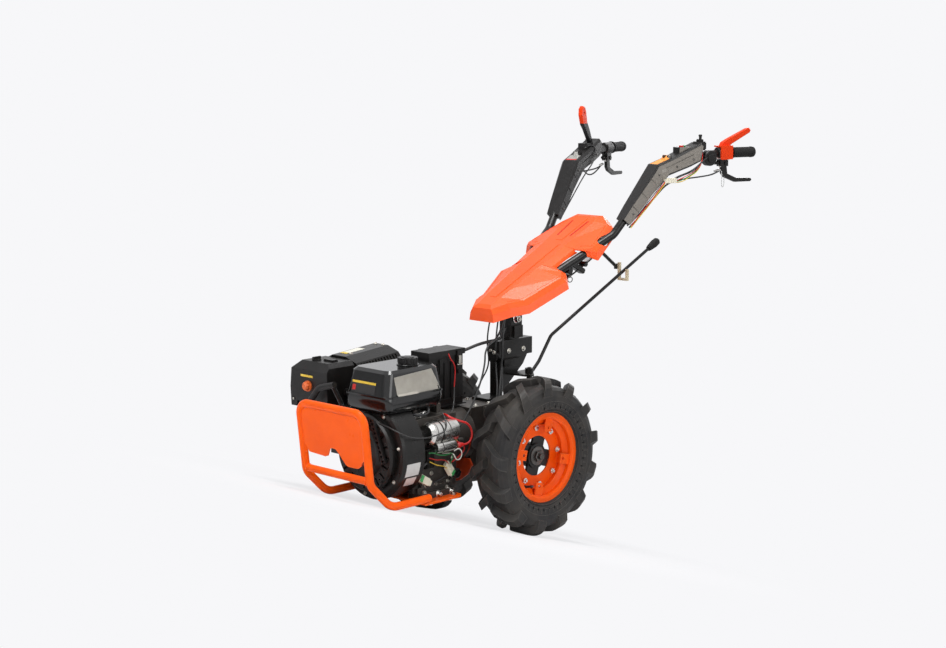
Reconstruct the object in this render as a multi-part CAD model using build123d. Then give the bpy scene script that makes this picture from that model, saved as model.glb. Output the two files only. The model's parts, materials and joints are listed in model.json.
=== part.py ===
"""Two-wheel walking tractor with a front engine, lugged tyres and a swivelling handlebar."""
import math
import os

from build123d import *

# Machine frame while drawing: axle centre at the origin, +X forward, +Y left, +Z up, machine level.
# At the end every piece is turned nose down about the axle until the bumper rests on the floor.

# Wheels
TRACK_HALF = 234.0
LUG_TIP_R = 250.0
CARCASS_R = 228.0
CROWN_HALF = 40.0
TYRE_HALF_WIDTH = 63.0
LUGS_PER_SIDE = 13
LUG_WIDTH = 28.0
LUG_LEAD = 25.0
LUG_ROOT = 6.0
BEAD_R = 127.0
TYRE_WALL = 9.0
RIM_FLANGE_R = 143.0
RIM_HALF_WIDTH = 45.5
RIM_GAUGE = 4.0
RIM_WELL_R = 106.0
DISC_INSET = 41.5
DISC_HOLE_R = 64.0
WHEEL_BOLT_R = 92.0
WHEEL_BOLTS = 8
WHEEL_STUD_R = 5.0
BOLT_PHASE = 22.0
TABS = 4
TAB_HALF = 16.0
TAB_R0 = 82.0
TAB_PHASE = 5.0
AXLE_R = 22.0
AXLE_GRIP = 40.0
RUN_CLEAR = 0.05
HOUSING_END = 150.0

# Bumper and base plate
TUBE_R = 12.5
RAIL_Y = 144.0
RAIL_Z = -84.5
RAIL_END_X = 384.0
BEND_X = 545.0
KNEE_X = 628.0
KNEE_Z = -4.0
BUMPER_TOP_X = 653.0
BUMPER_TOP_Z = 214.0
LOW_BEND_R = 70.0
KNEE_R = 50.0
TOP_BEND_R = 38.0
PLATE_T = 6.0
PLATE_X0 = 240.0
PLATE_TOP = RAIL_Z - TUBE_R

# Engine
CRANK_Z = 57.0
FAN_R = 151.0
FAN_X0 = 404.0
FAN_X1 = 500.0
FAN_EDGE = 14.0
RECOIL_R = 122.0
RECOIL_T = 22.0
RECOIL_SLOTS = 20
BLOCK_X0 = 215.0
BLOCK_Y0 = -105.0
BLOCK_Y1 = 92.0
BLOCK_TOP = 95.0
FOOT_H = 20.0
HEAD_X0 = 266.0
HEAD_X1 = 388.0
HEAD_FINS = 7
HEAD_TOP = 142.0
FIN_PITCH = 11.0
STARTER_X0 = 258.0
STARTER_X1 = 374.0
STARTER_Y = 122.0
STARTER_Z = 110.0
STARTER_R = 36.0
REGULATOR_FINS = 5
STRIP_SLOTS = 9
HANDLE_X = 545.0
HANDLE_R = 10.0
BRACKET_TOP = 159.0

# Fuel tank, air cleaner and muffler guard
TANK_X0 = 268.0
TANK_X1 = 520.0
TANK_Y = 2.0
TANK_WIDTH = 200.0
TANK_LOW = 181.0
TANK_SEAM = 232.0
TANK_TOP = 313.0
FLANGE_T = 5.0
CAP_X = 361.0
CAP_Y = 28.0
CAP_R = 32.0
CAP_NOTCHES = 10
CLEANER_X0 = 407.0
CLEANER_X1 = 521.0
CLEANER_Y0 = -342.0
CLEANER_Y1 = -166.0
CLEANER_LOW = 160.0
CLEANER_TOP = 307.0
CLEANER_EDGE = 27.0
KNOB_Y = -255.0
KNOB_Z = 231.0
KNOB_R = 17.0
GUARD_X0 = 205.0
GUARD_X1 = 390.0
GUARD_Y0 = -335.0
GUARD_Y1 = -142.0
GUARD_TOP = 303.0
GUARD_RISE = 5.0
GUARD_SLOTS = 13

# Battery box
BAT_X0 = 106.0
BAT_X1 = 256.0
BAT_Y0 = -60.0
BAT_Y1 = 15.0
BAT_Z0 = 158.0
BAT_Z1 = 330.0
BAT_WALL = 3.0
TRAY_T = 4.0
LID_LIP = 14.0
LID_GAP = 1.5
LID_T = 4.0
HINGE_R = 4.0
HINGE_PIN_R = 2.0

# Gearbox and clutch housing
CLUTCH_R = 88.0
CLUTCH_X0 = 118.0
GEARBOX_X0 = -95.0
GEARBOX_HALF = 62.0
GEARBOX_TOP = 146.0
OUTPUT_Z = 40.0
OUTPUT_R = 58.0
HITCH_X = -130.0
HITCH_PIN_R = 8.2
HITCH_LOW = -98.0

# Swivel base, column and handlebar
SWIVEL_X = -136.0
SPIGOT_R = 13.0
BASE_X0 = -213.0
BASE_X1 = -55.0
BASE_HALF = 25.0
BASE_Z0 = 281.0
BASE_Z1 = 336.0
COLUMN_HALF = 26.0
COLUMN_TOP = 470.0
FLANGE_GAP = 1.0
ARM_TUBE_R = 14.0
SPLAY = 14.5
ARM_X = -640.0
ARM_Y = 184.0
CROSS_BAR_S = 345.0
CROSS_BAR_R = 9.0
GRIP_S0 = 338.0
GRIP_S1 = 442.0
GRIP_R = 18.0
GRIP_RINGS = 7
GRIP_Z = 923.5
MOUNT_S0 = 276.0
MOUNT_S1 = 330.0
MOUNT_R = 20.0
SHELL_HALF = 32.0
SHELL_FOOT_HALF = 21.0
SHELL_EDGE = 7.0
COVER_WALL = 3.0
ARM_CLEAR = 3.0
RIDGE_RISE = 6.0
COVER_SLOPE = 0.504

# Gear rod
ROD_R = 5.5
ROD_PIN_X = -130.0
ROD_PIN_Y = 88.0
ROD_PIN_Z = 238.0
ROD_PIN_R = 6.0
ROD_EYE_R = 14.0
ROD_EYE_HALF = 9.0
ROD_Y = 100.0
GUIDE_X = -598.0
GUIDE_SLOT = 26.0
GUIDE_OFFSET = -3.5
GUIDE_DEPTH = 27.0


def block(x0, x1, y0, y1, z0, z1):
    return Pos((x0 + x1) / 2, (y0 + y1) / 2, (z0 + z1) / 2) * Box(x1 - x0, y1 - y0, z1 - z0)


def rod_x(x0, x1, y, z, r):
    return Pos((x0 + x1) / 2, y, z) * Rot(0, 90, 0) * Cylinder(r, x1 - x0)


def rod_y(x, y0, y1, z, r):
    return Pos(x, (y0 + y1) / 2, z) * Rot(90, 0, 0) * Cylinder(r, y1 - y0)


def rod_z(x, y, z0, z1, r):
    return Pos(x, y, (z0 + z1) / 2) * Cylinder(r, z1 - z0)


def slab_y(points, y0, y1):
    """A polygon given in x and z, standing between two values of y."""
    face = make_face(Plane.XZ * Polyline(*points, close=True))
    return Pos(0, y0, 0) * extrude(face, amount=y1 - y0, dir=(0, 1, 0))


def slab_x(points, x0, x1):
    """A polygon given in y and z, standing between two values of x."""
    face = make_face(Plane.YZ * Polyline(*points, close=True))
    return Pos(x0, 0, 0) * extrude(face, amount=x1 - x0, dir=(1, 0, 0))


def slab_z(points, z0, z1):
    """A polygon given in x and y, standing between two values of z."""
    face = make_face(Polyline(*points, close=True))
    return Pos(0, 0, z0) * extrude(face, amount=z1 - z0, dir=(0, 0, 1))


def turned_x(points):
    """A round piece turned about X from an outline in x and r."""
    return revolve(make_face(Plane.XZ * Polyline(*points, close=True)), axis=Axis.X)


def pipe(points, radius, bends):
    """A round bar along straight runs joined by tangent arcs."""
    if len(points) == 2:
        path = Line(*points)
    else:
        path = FilletPolyline(*points, radius=bends)
    return sweep(Plane(origin=path @ 0, z_dir=path % 0) * Circle(radius), path=path)


def flip(shape):
    return mirror(shape, about=Plane.XZ)


def around_y(shape, angle):
    return Rot(0, angle, 0) * shape


# Parking: the bumper's lower bends and the lug tips share the floor.
bend_rise = math.atan2(KNEE_Z - RAIL_Z, KNEE_X - BEND_X)
bend_centre_x = BEND_X - LOW_BEND_R * math.tan(bend_rise / 2)
bend_centre_z = RAIL_Z + LOW_BEND_R
reach = math.hypot(bend_centre_x, bend_centre_z)
lift_ratio = (LUG_TIP_R - LOW_BEND_R - TUBE_R) / reach
NOSE_DOWN = math.degrees(math.asin(lift_ratio) - math.atan2(-bend_centre_z, bend_centre_x))

# Tyres
def lug_section():
    """The bar's outline in y and r: a flat crown, a rounded shoulder and a root inside the carcass."""
    w = TYRE_HALF_WIDTH + 1.5
    root = CARCASS_R - LUG_ROOT
    return [
        (-4.0, LUG_TIP_R),
        (CROWN_HALF, LUG_TIP_R),
        (CROWN_HALF + 9, LUG_TIP_R - 4),
        (w - 7, LUG_TIP_R - 11),
        (w, LUG_TIP_R - 24),
        (w, CARCASS_R - 30),
        (w - 6, CARCASS_R - 36),
        (w - 13, CARCASS_R - 26),
        (CROWN_HALF, root - 4),
        (-8.0, root),
    ]


def lug():
    """One bar of the tread, skewed so that its middle end leads, as a closed set of flat faces."""
    near = []
    far = []
    for y, r in lug_section():
        along = LUG_LEAD * (1 - 2 * y / TYRE_HALF_WIDTH)
        half = LUG_WIDTH / 2 + 0.12 * (LUG_TIP_R - r)
        near.append((along - half, y, -r))
        far.append((along + half, y, -r))
    count = len(near)
    faces = [Face(Wire.make_polygon(near, close=True)), Face(Wire.make_polygon(far, close=True))]
    for i in range(count):
        j = (i + 1) % count
        faces.append(Face(Wire.make_polygon([near[i], near[j], far[j], far[i]], close=True)))
    return Solid(Shell(faces))


def turned_y(points):
    """A ring turned about the axle from an outline in r and y."""
    return revolve(make_face(Polyline(*points, close=True)), axis=Axis.Y)


def tyre_carcass():
    w = TYRE_HALF_WIDTH
    seat = RIM_HALF_WIDTH - RIM_GAUGE
    bulge = (BEAD_R + CARCASS_R) / 2 + 6
    half = [
        (BEAD_R, seat - 4),
        (BEAD_R + 3, seat - 1),
        (RIM_FLANGE_R, seat),
        (RIM_FLANGE_R + 2, seat + 5),
        (RIM_FLANGE_R + 14, w - 5),
        (bulge, w),
        (CARCASS_R - 30, w - 1),
        (CARCASS_R - 13, w - 7),
        (CARCASS_R - 4, w - 16),
        (CARCASS_R, w - 36),
    ]
    outer = half + [(r, -y) for r, y in reversed(half)]
    t = TYRE_WALL
    inner_half = [
        (BEAD_R, seat - 17),
        (BEAD_R + 18, seat - 12),
        (RIM_FLANGE_R + 14, w - 5 - t),
        (bulge, w - t),
        (CARCASS_R - 30, w - 1 - t),
        (CARCASS_R - 18, w - 16 - t),
        (CARCASS_R - 14, w - 40),
    ]
    inner = [(r, -y) for r, y in inner_half] + [(r, y) for r, y in reversed(inner_half)]
    return turned_y(outer + inner)


def tyre():
    body = tyre_carcass()
    step = 360.0 / LUGS_PER_SIDE
    reach_y = TYRE_HALF_WIDTH + 20
    bar = lug() & rod_y(0, -reach_y, reach_y, 0, LUG_TIP_R)
    other = flip(bar)
    bars = []
    for k in range(LUGS_PER_SIDE):
        bars.append(around_y(bar, k * step))
        bars.append(around_y(other, (k + 0.5) * step))
    return body.fuse(*bars)


# Rims and hubs, drawn about the middle plane of the wheel, outside towards +Y
disc_face = RIM_HALF_WIDTH - DISC_INSET


def rim():
    w = RIM_HALF_WIDTH
    g = RIM_GAUGE
    outer = [
        (RIM_FLANGE_R, w),
        (RIM_FLANGE_R, w - g),
        (BEAD_R + 3, w - g - 1),
        (BEAD_R, w - g - 4),
        (BEAD_R, w - 20),
        (RIM_WELL_R + g, w - 28),
        (RIM_WELL_R + g, -w + 28),
        (BEAD_R, -w + 20),
        (BEAD_R, -w + g + 4),
        (BEAD_R + 3, -w + g + 1),
        (RIM_FLANGE_R, -w + g),
        (RIM_FLANGE_R, -w),
    ]
    inner = [
        (BEAD_R + 2, -w),
        (BEAD_R - g, -w + 5),
        (BEAD_R - g, -w + 19),
        (RIM_WELL_R, -w + 27),
        (RIM_WELL_R, w - 27),
        (BEAD_R - g, w - 19),
        (BEAD_R - g, w - 5),
        (BEAD_R + 2, w),
    ]
    shape = turned_y(outer + inner)
    disc = rod_y(0, disc_face - g, disc_face, 0, RIM_WELL_R + 1)
    disc -= rod_y(0, disc_face - g - 1, disc_face + 1, 0, DISC_HOLE_R)
    shape += disc
    for k in range(TABS):
        tab = block(-TAB_HALF, TAB_HALF, w - 14, w - 10, TAB_R0, BEAD_R - g + 0.5)
        tab -= rod_y(0, w - 15, w - 9, TAB_R0 + 12, 5.5)
        leg_r = RIM_WELL_R - 7
        leg = block(-TAB_HALF, TAB_HALF, disc_face - 1, w - 10, leg_r, leg_r + g)
        shape += around_y(tab + leg, 360 / TABS * k + TAB_PHASE)
    for k in range(WHEEL_BOLTS):
        hole = rod_y(0, disc_face - g - 1, disc_face + 1, WHEEL_BOLT_R, WHEEL_STUD_R + 1.2)
        shape -= around_y(hole, 360 / WHEEL_BOLTS * k + BOLT_PHASE)
    return shape


def hub():
    face = disc_face - RIM_GAUGE
    plate = 8.0
    shape = rod_y(0, face - plate, face, 0, WHEEL_BOLT_R + 12)
    shape -= rod_y(0, face - plate - 1, face + 1, 0, WHEEL_BOLT_R - 20)
    for k in range(4):
        shape += around_y(block(-27, 27, face - plate, face, 30, WHEEL_BOLT_R - 12), 90 * k)
    inner_end = HOUSING_END + 2 - TRACK_HALF
    shape += rod_y(0, inner_end, face + 6, 0, 40)
    shape += rod_y(0, inner_end - AXLE_GRIP, inner_end + 1, 0, AXLE_R)
    nut_seat = disc_face
    for k in range(WHEEL_BOLTS):
        bolt = rod_y(0, face - plate - 6, nut_seat + 12, WHEEL_BOLT_R, WHEEL_STUD_R)
        hexagon = Plane.XZ.offset(-nut_seat) * Pos(0, WHEEL_BOLT_R) * RegularPolygon(9.5, 6)
        shape += around_y(bolt + extrude(hexagon, amount=-8), 360 / WHEEL_BOLTS * k + BOLT_PHASE)
    return shape


def wheel_pieces():
    out = {}
    for side, sign in (("left", 1), ("right", -1)):
        for name, shape in (("tyre", tyre()), ("rim", rim()), ("hub", hub())):
            turned = Pos(0, TRACK_HALF, 0) * around_y(shape, -NOSE_DOWN)
            out[name + "_" + side] = turned if sign > 0 else flip(turned)
    return out


# Bumper, panel and base plate
def bumper():
    side = [
        (RAIL_END_X, RAIL_Y, RAIL_Z),
        (BEND_X, RAIL_Y, RAIL_Z),
        (KNEE_X, RAIL_Y, KNEE_Z),
        (BUMPER_TOP_X, RAIL_Y, BUMPER_TOP_Z),
        (BUMPER_TOP_X, -RAIL_Y, BUMPER_TOP_Z),
        (KNEE_X, -RAIL_Y, KNEE_Z),
        (BEND_X, -RAIL_Y, RAIL_Z),
        (RAIL_END_X, -RAIL_Y, RAIL_Z),
    ]
    bends = [LOW_BEND_R, KNEE_R, TOP_BEND_R, TOP_BEND_R, KNEE_R, LOW_BEND_R]
    loop = pipe(side, TUBE_R, bends)
    cross = rod_y(KNEE_X + 1, -RAIL_Y, RAIL_Y, KNEE_Z + 12, TUBE_R - 1)
    return loop + cross


def bumper_panel():
    lean = math.degrees(math.atan2(BUMPER_TOP_X - KNEE_X, BUMPER_TOP_Z - KNEE_Z))
    h = math.hypot(BUMPER_TOP_X - KNEE_X, BUMPER_TOP_Z - KNEE_Z)
    inner = RAIL_Y - TUBE_R + 1
    top = h - TUBE_R + 1
    c = 26
    low = 48.0
    outline = [
        (-inner, top - c),
        (-inner + 8, top - 8),
        (-inner + c, top),
        (inner - c, top),
        (inner - 8, top - 8),
        (inner, top - c),
        (inner, low + 28),
        (inner - 7, low + 24),
        (inner - 14, low + 10),
        (inner - 30, low),
        (58, low),
        (48, low + 6),
        (26, low + 32),
        (10, low + 46),
        (-4, low + 48),
        (-16, low + 44),
        (-28, low + 20),
        (-40, low + 16),
        (-inner + 20, low + 20),
        (-inner + 7, low + 38),
        (-inner, low + 44),
    ]
    panel = extrude(make_face(Plane.YZ * Polyline(*outline, close=True)), amount=4, dir=(1, 0, 0))
    return Pos(KNEE_X + 2, 0, KNEE_Z) * Rot(0, lean, 0) * panel


def base_plate():
    side = RAIL_Y + TUBE_R - 4
    corner = 14.0
    x1 = RAIL_END_X + 26
    outline = [
        (x1, -side),
        (x1, side),
        (PLATE_X0 + corner, side),
        (PLATE_X0, side - corner),
        (PLATE_X0, -side + corner),
        (PLATE_X0 + corner, -side),
    ]
    return slab_z(outline, PLATE_TOP - PLATE_T, PLATE_TOP)


# Engine
def crankcase():
    low = PLATE_TOP
    top = CRANK_Z + BLOCK_TOP
    x0 = BLOCK_X0
    x1 = FAN_X0
    shape = block(x0, x1, BLOCK_Y0, BLOCK_Y1, low + FOOT_H, top)
    foot = block(x0 + 30, x1 - 10, BLOCK_Y1 - 30, BLOCK_Y1 + 26, low, low + FOOT_H)
    foot += block(x0 + 30, x1 - 10, BLOCK_Y1 - 4, BLOCK_Y1 + 12, low + FOOT_H, low + FOOT_H + 16)
    shape += foot + block(x0 + 30, x1 - 10, BLOCK_Y0 - 14, BLOCK_Y0 + 30, low, low + FOOT_H)
    shape += rod_x(x0 - 14, x0 + 1, 0, CRANK_Z, CLUTCH_R)
    mid = (x0 + x1) / 2
    cover_line = [
        (mid - 78, low + 44),
        (mid - 52, low + 30),
        (mid + 58, low + 30),
        (mid + 84, low + 62),
        (mid + 84, top - 70),
        (mid + 40, top - 44),
        (mid - 46, top - 44),
        (mid - 78, top - 80),
    ]
    shape += slab_y(cover_line, BLOCK_Y1, BLOCK_Y1 + 9)
    for dx in (-58, -30, 48, 66):
        shape += rod_y(mid + dx, BLOCK_Y1 + 8, BLOCK_Y1 + 15, low + 40, 6)
    for dx in (-44, -20, 4):
        shape += block(mid + dx, mid + dx + 5, BLOCK_Y1, BLOCK_Y1 + 16, top - 72, top - 8)
    shape += rod_y(x0 + 26, BLOCK_Y1, BLOCK_Y1 + 22, low + 62, 13)
    for dx in (-50, 50):
        post = block(mid + dx - 8, mid + dx + 8, -64, 60, top - 1, TANK_LOW - 0.3)
        shape += post
    return shape - battery_room()


def battery_room():
    """What the tray takes out of its neighbours, with a small clearance."""
    c = 0.3
    t = TRAY_T + c
    return block(BAT_X0 - 12, BAT_X1 + 8, BAT_Y0 - 8, BAT_Y1 + 8, BAT_Z0 - t, BAT_Z1)


def cylinder_head():
    y0 = BLOCK_Y0 - 45
    shape = block(HEAD_X0, HEAD_X1, y0, BLOCK_Y0, -5, 135)
    for k in range(HEAD_FINS):
        y = y0 - 10 - FIN_PITCH * k
        shape += block(HEAD_X0 - 6, HEAD_X1 + 8, y - 2, y + 2, -12, HEAD_TOP)
    shape += block(HEAD_X0 + 2, HEAD_X1, y0 - 90, y0, 0, 130)
    shape += block(HEAD_X0 + 6, HEAD_X1 - 4, y0 - 112, y0 - 90, 10, 120)
    return shape


def fan_shroud():
    e = FAN_EDGE
    r = FAN_R
    rim_line = [(FAN_X0, 0), (FAN_X0, r - 4), (FAN_X0 + 4, r), (FAN_X1 - e, r), (FAN_X1 - e / 3, r - e / 3)]
    rim_line += [(FAN_X1, r - e), (FAN_X1, 0)]
    shape = Pos(0, 0, CRANK_Z) * turned_x(rim_line)
    shape += block(FAN_X0, FAN_X1 - 22, -200, -60, 20, CRANK_Z + 118)
    shape += block(FAN_X0, FAN_X1 - 22, -110, 90, CRANK_Z + 60, 178)
    y = BLOCK_Y1
    scoop = [(y - 30, 150), (y + 22, 118), (y + 30, 30), (y + 8, -38), (y - 30, -60)]
    shape += slab_x(scoop, FAN_X0 - 26, FAN_X0 + 1)
    shape -= block(FAN_X0 - 30, FAN_X1 + 1, -200, 200, TANK_LOW - 0.3, TANK_TOP)
    return shape


def recoil_cover():
    x1 = FAN_X1 + RECOIL_T
    e = 6.0
    shell = [(FAN_X1, 0), (FAN_X1, RECOIL_R), (x1 - e, RECOIL_R), (x1, RECOIL_R - e), (x1, 80), (x1 + 14, 72)]
    shell += [(x1 + 14, 0)]
    shape = Pos(0, 0, CRANK_Z) * turned_x(shell)
    for k in range(RECOIL_SLOTS):
        slot = block(x1 - 8, x1 + 1, -3.5, 3.5, 86, RECOIL_R - 10)
        shape -= Pos(0, 0, CRANK_Z) * Rot(360 / RECOIL_SLOTS * k, 0, 0) * slot
    shape += slab_x([(-40, 150), (-88, 172), (-104, 160), (-90, 110)], FAN_X1, x1)
    shape += pipe([(FAN_X1 + 11, -90, 150), (FAN_X1 + 16, -108, 196), (HANDLE_X, -112, 252)], 7, [20])
    return shape


def recoil_handle():
    return pipe([(HANDLE_X, -104, 257), (HANDLE_X, -176, 238), (HANDLE_X, -214, 196)], HANDLE_R, [42])


def side_grille():
    x0 = FAN_X1 + RECOIL_T
    line = [(54, 164), (38, 158), (88, 34), (104, 44)]
    shape = slab_x(line, x0, x0 + 9)
    for k in range(STRIP_SLOTS):
        f = (k + 0.5) / STRIP_SLOTS
        y = 46 + f * 50
        z = 161 - f * 122
        shape -= Pos(0, y, z) * Rot(-22, 0, 0) * block(x0 + 3, x0 + 10, -4, 4, -3.5, 3.5)
    return shape


def starter():
    x0 = STARTER_X0
    x1 = STARTER_X1
    can = [(x0, 0), (x0, STARTER_R - 5), (x0 + 5, STARTER_R), (x0 + 74, STARTER_R), (x0 + 74, STARTER_R - 2)]
    can += [(x0 + 78, STARTER_R - 2), (x0 + 78, STARTER_R), (x1 - 8, STARTER_R), (x1, STARTER_R - 8), (x1, 0)]
    shape = Pos(0, STARTER_Y, STARTER_Z) * turned_x(can)
    shape += rod_x(x1 - 1, FAN_X0 - 26.3, STARTER_Y, STARTER_Z, 28)
    solenoid_y = STARTER_Y + 16
    solenoid_z = STARTER_Z - STARTER_R - 8
    shape += rod_x(x0 + 22, x1 - 17, solenoid_y, solenoid_z, 19)
    shape += rod_x(x0 + 12, x0 + 23, solenoid_y, solenoid_z, 13)
    for dy, dz in ((-6, 6), (6, -6)):
        shape += rod_x(x0 + 2, x0 + 13, solenoid_y + dy, solenoid_z + dz, 3)
    shape += block(x0 + 37, x1 - 9, BLOCK_Y1, STARTER_Y, STARTER_Z - 20, STARTER_Z + 20)
    return shape


def regulator():
    x0 = 344.0
    x1 = FAN_X0 - 27
    y0 = BLOCK_Y1 + 9.3
    y1 = y0 + 20
    shape = block(x0, x1, y0, y1, 0, 60)
    pitch = (x1 - x0) / REGULATOR_FINS
    for k in range(REGULATOR_FINS):
        x = x0 + pitch * (k + 0.5)
        shape += block(x - 1.6, x + 1.6, y1, y1 + 7, 3, 57)
    return shape


def tank():
    mid_x = (TANK_X0 + TANK_X1) / 2
    long = TANK_X1 - TANK_X0
    wide = TANK_WIDTH

    def level(z, dx, dy, radius, shift=0.0):
        return Plane.XY.offset(z) * Pos(mid_x + shift, TANK_Y) * RectangleRounded(long - dx, wide - dy, radius)

    seam_top = TANK_SEAM + FLANGE_T
    lower = loft([level(TANK_LOW, 30, 34, 24), level(TANK_LOW + 10, 14, 18, 26), level(TANK_SEAM, 6, 10, 26)])
    flange = extrude(level(TANK_SEAM, 0, 0, 28), amount=FLANGE_T)
    upper_levels = [
        level(seam_top, 8, 12, 26),
        level(TANK_TOP - 9, 32, 30, 26, -4),
        level(TANK_TOP, 54, 50, 22, -4),
    ]
    upper = loft(upper_levels, ruled=True)
    neck = rod_z(CAP_X, CAP_Y, TANK_TOP - 1, TANK_TOP + 4, CAP_R - 6)
    return lower + flange + upper + neck


def fuel_cap():
    base = TANK_TOP + 4
    shape = rod_z(CAP_X, CAP_Y, base, base + 4, CAP_R - 2) + rod_z(CAP_X, CAP_Y, base + 3, base + 19, CAP_R)
    shape += rod_z(CAP_X, CAP_Y, base + 18, base + 21, CAP_R - 12)
    for k in range(CAP_NOTCHES):
        notch = rod_z(CAP_R + 2, 0, base + 2, base + 22, 5)
        shape -= Pos(CAP_X, CAP_Y, 0) * Rot(0, 0, 360 / CAP_NOTCHES * k) * notch
    return shape


def air_cleaner():
    y0 = CLEANER_Y0
    y1 = CLEANER_Y1
    top = CLEANER_TOP
    low = CLEANER_LOW
    e = CLEANER_EDGE
    x1 = CLEANER_X1
    outline = [(y0 + 4, low), (y0 + 30, low), (y0 + 34, low + 18), (y1, low + 18)]
    outline += [(y1, top - e / 2), (y1 - e / 2, top), (y0 + 40, top), (y0 + 6, top - e), (y0, top - e - 60)]
    shape = slab_x(outline, CLEANER_X0, x1)
    slope = [(x1 - 18, top + 1), (x1 + 1, top - e), (x1 + 1, top + 1)]
    shape -= slab_y(slope, y0 - 1, y1 + 1)
    shape += rod_z(x1 - 40, KNOB_Y - 5, top - 1, top + 5, 15)
    shape += block(x1 - 56, x1 - 24, KNOB_Y - 8, KNOB_Y - 2, top + 4, top + 12)
    return shape


def air_cleaner_knob():
    x = CLEANER_X1
    line = [(x, 0), (x, KNOB_R), (x + 5, KNOB_R), (x + 5, KNOB_R - 3), (x + 13, KNOB_R - 3), (x + 18, KNOB_R - 8)]
    line += [(x + 18, 0)]
    shape = Pos(0, KNOB_Y, KNOB_Z) * turned_x(line)
    for k in range(8):
        groove = block(x + 6, x + 19, -1.5, 1.5, KNOB_R - 5, KNOB_R)
        shape -= Pos(0, KNOB_Y, KNOB_Z) * Rot(45 * k, 0, 0) * groove
    return shape


def muffler_guard():
    low = BRACKET_TOP + 0.3
    top = GUARD_TOP
    y0 = GUARD_Y0
    y1 = GUARD_Y1
    outline = [
        (y0, low),
        (y1, low),
        (y1, top - 34),
        (y1 - 22, top - 4),
        (y1 - 70, top + 12),
        (y0 + 62, top + 12),
        (y0 + 16, top - 8),
        (y0, top - 40),
    ]
    shape = slab_x(outline, GUARD_X0, GUARD_X1)
    lean = math.degrees(math.atan2(30, 22))
    pitch = (GUARD_X1 - GUARD_X0 - 24) / GUARD_SLOTS
    for k in range(GUARD_SLOTS):
        x = GUARD_X0 + 12 + pitch * (k + 0.5)
        slot = block(x - pitch * 0.3, x + pitch * 0.3, -14, 14, -5, 5)
        turn = Pos(0, y1 - 11, top - 19) * Rot(-lean, 0, 0)
        shape -= turn * slot
    anchor = Pos(GUARD_X1, 0, low)
    return anchor * Rot(0, GUARD_RISE, 0) * anchor.inverse() * shape


def head_bracket():
    return block(250, 470, GUARD_Y0 + 5, -200, HEAD_TOP, BRACKET_TOP)


# Gearbox, clutch housing and axle
def clutch_housing():
    shape = rod_x(CLUTCH_X0 + 12, BLOCK_X0 - 14, 0, CRANK_Z, CLUTCH_R)
    shape += rod_x(CLUTCH_X0, CLUTCH_X0 + 12, 0, CRANK_Z, CLUTCH_R)
    half = [(86, -11), (96, -30), (74, -64), (44, -86), (14, -96)]
    line = half + [(-y, z) for y, z in reversed(half)]
    shape += slab_x(line, CLUTCH_X0 + 24, CLUTCH_X0 + 30)
    for k in range(6):
        boss = rod_x(BLOCK_X0 - 32, BLOCK_X0 - 14, 0, CLUTCH_R - 3, 9)
        shape += Pos(0, 0, CRANK_Z) * Rot(60 * k + 30, 0, 0) * boss
    return shape - battery_room()


def gearbox():
    h = GEARBOX_HALF
    x0 = GEARBOX_X0
    top = GEARBOX_TOP
    x1 = CLUTCH_X0
    line = [(x0, -40), (x0 + 30, -78), (x1 - 40, -78), (x1, -40), (x1, top), (x0 + 20, top), (x0, top - 30)]
    shape = slab_y(line, -h, h)
    lid_line = [(x1 - 60, top - 4), (x1 - 60, top - 40), (x0 + 6, top - 40), (x0 + 30, top - 4)]
    shape += slab_y(lid_line, -h - 12, h + 12)
    shape += rod_y(0, -h - 38, h + 38, 0, 78)
    shape += rod_y(0, -HOUSING_END, HOUSING_END, 0, 52)
    for side in (-1, 1):
        y0, y1 = sorted((side * (h + 38), side * (h + 56)))
        shape += rod_y(0, y0, y1, 0, 88)
        for k in range(8):
            z = 79.0
            shape += around_y(rod_y(0, y0 - 4, y1 + 4, z, 6), 45 * k)
        for k in range(4):
            rib0, rib1 = sorted((side * (h + 50), side * (HOUSING_END - 12)))
            shape += around_y(block(-4, 4, rib0, rib1, 40, 66), 90 * k + 45)
    bore = AXLE_R + RUN_CLEAR
    depth = AXLE_GRIP + 5
    shape -= rod_y(0, HOUSING_END - depth, HOUSING_END + 1, 0, bore)
    shape -= rod_y(0, -HOUSING_END - 1, -HOUSING_END + depth, 0, bore)
    shape += rod_x(x0 - 23, x0 + 1, 0, OUTPUT_Z, OUTPUT_R)
    return shape - battery_room()


def output_cover():
    x = GEARBOX_X0 - 23
    shape = rod_x(x - 10, x, 0, OUTPUT_Z, OUTPUT_R + 4)
    for k in range(6):
        bolt = rod_x(x - 15, x - 9, 0, OUTPUT_R - 6, 5)
        shape += Pos(0, 0, OUTPUT_Z) * Rot(60 * k, 0, 0) * bolt
    return shape


def hitch():
    x = GEARBOX_X0
    low = HITCH_LOW
    shape = block(HITCH_X - 20, x - 0.3, -34, 34, low, low + 10)
    shape += block(HITCH_X - 20, x - 0.3, -34, 34, low + 52, low + 62)
    shape += block(x - 11, x - 0.3, -50, 50, low - 4, 4)
    return shape - rod_z(HITCH_X, 0, low - 5, low + 63, HITCH_PIN_R)


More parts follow.
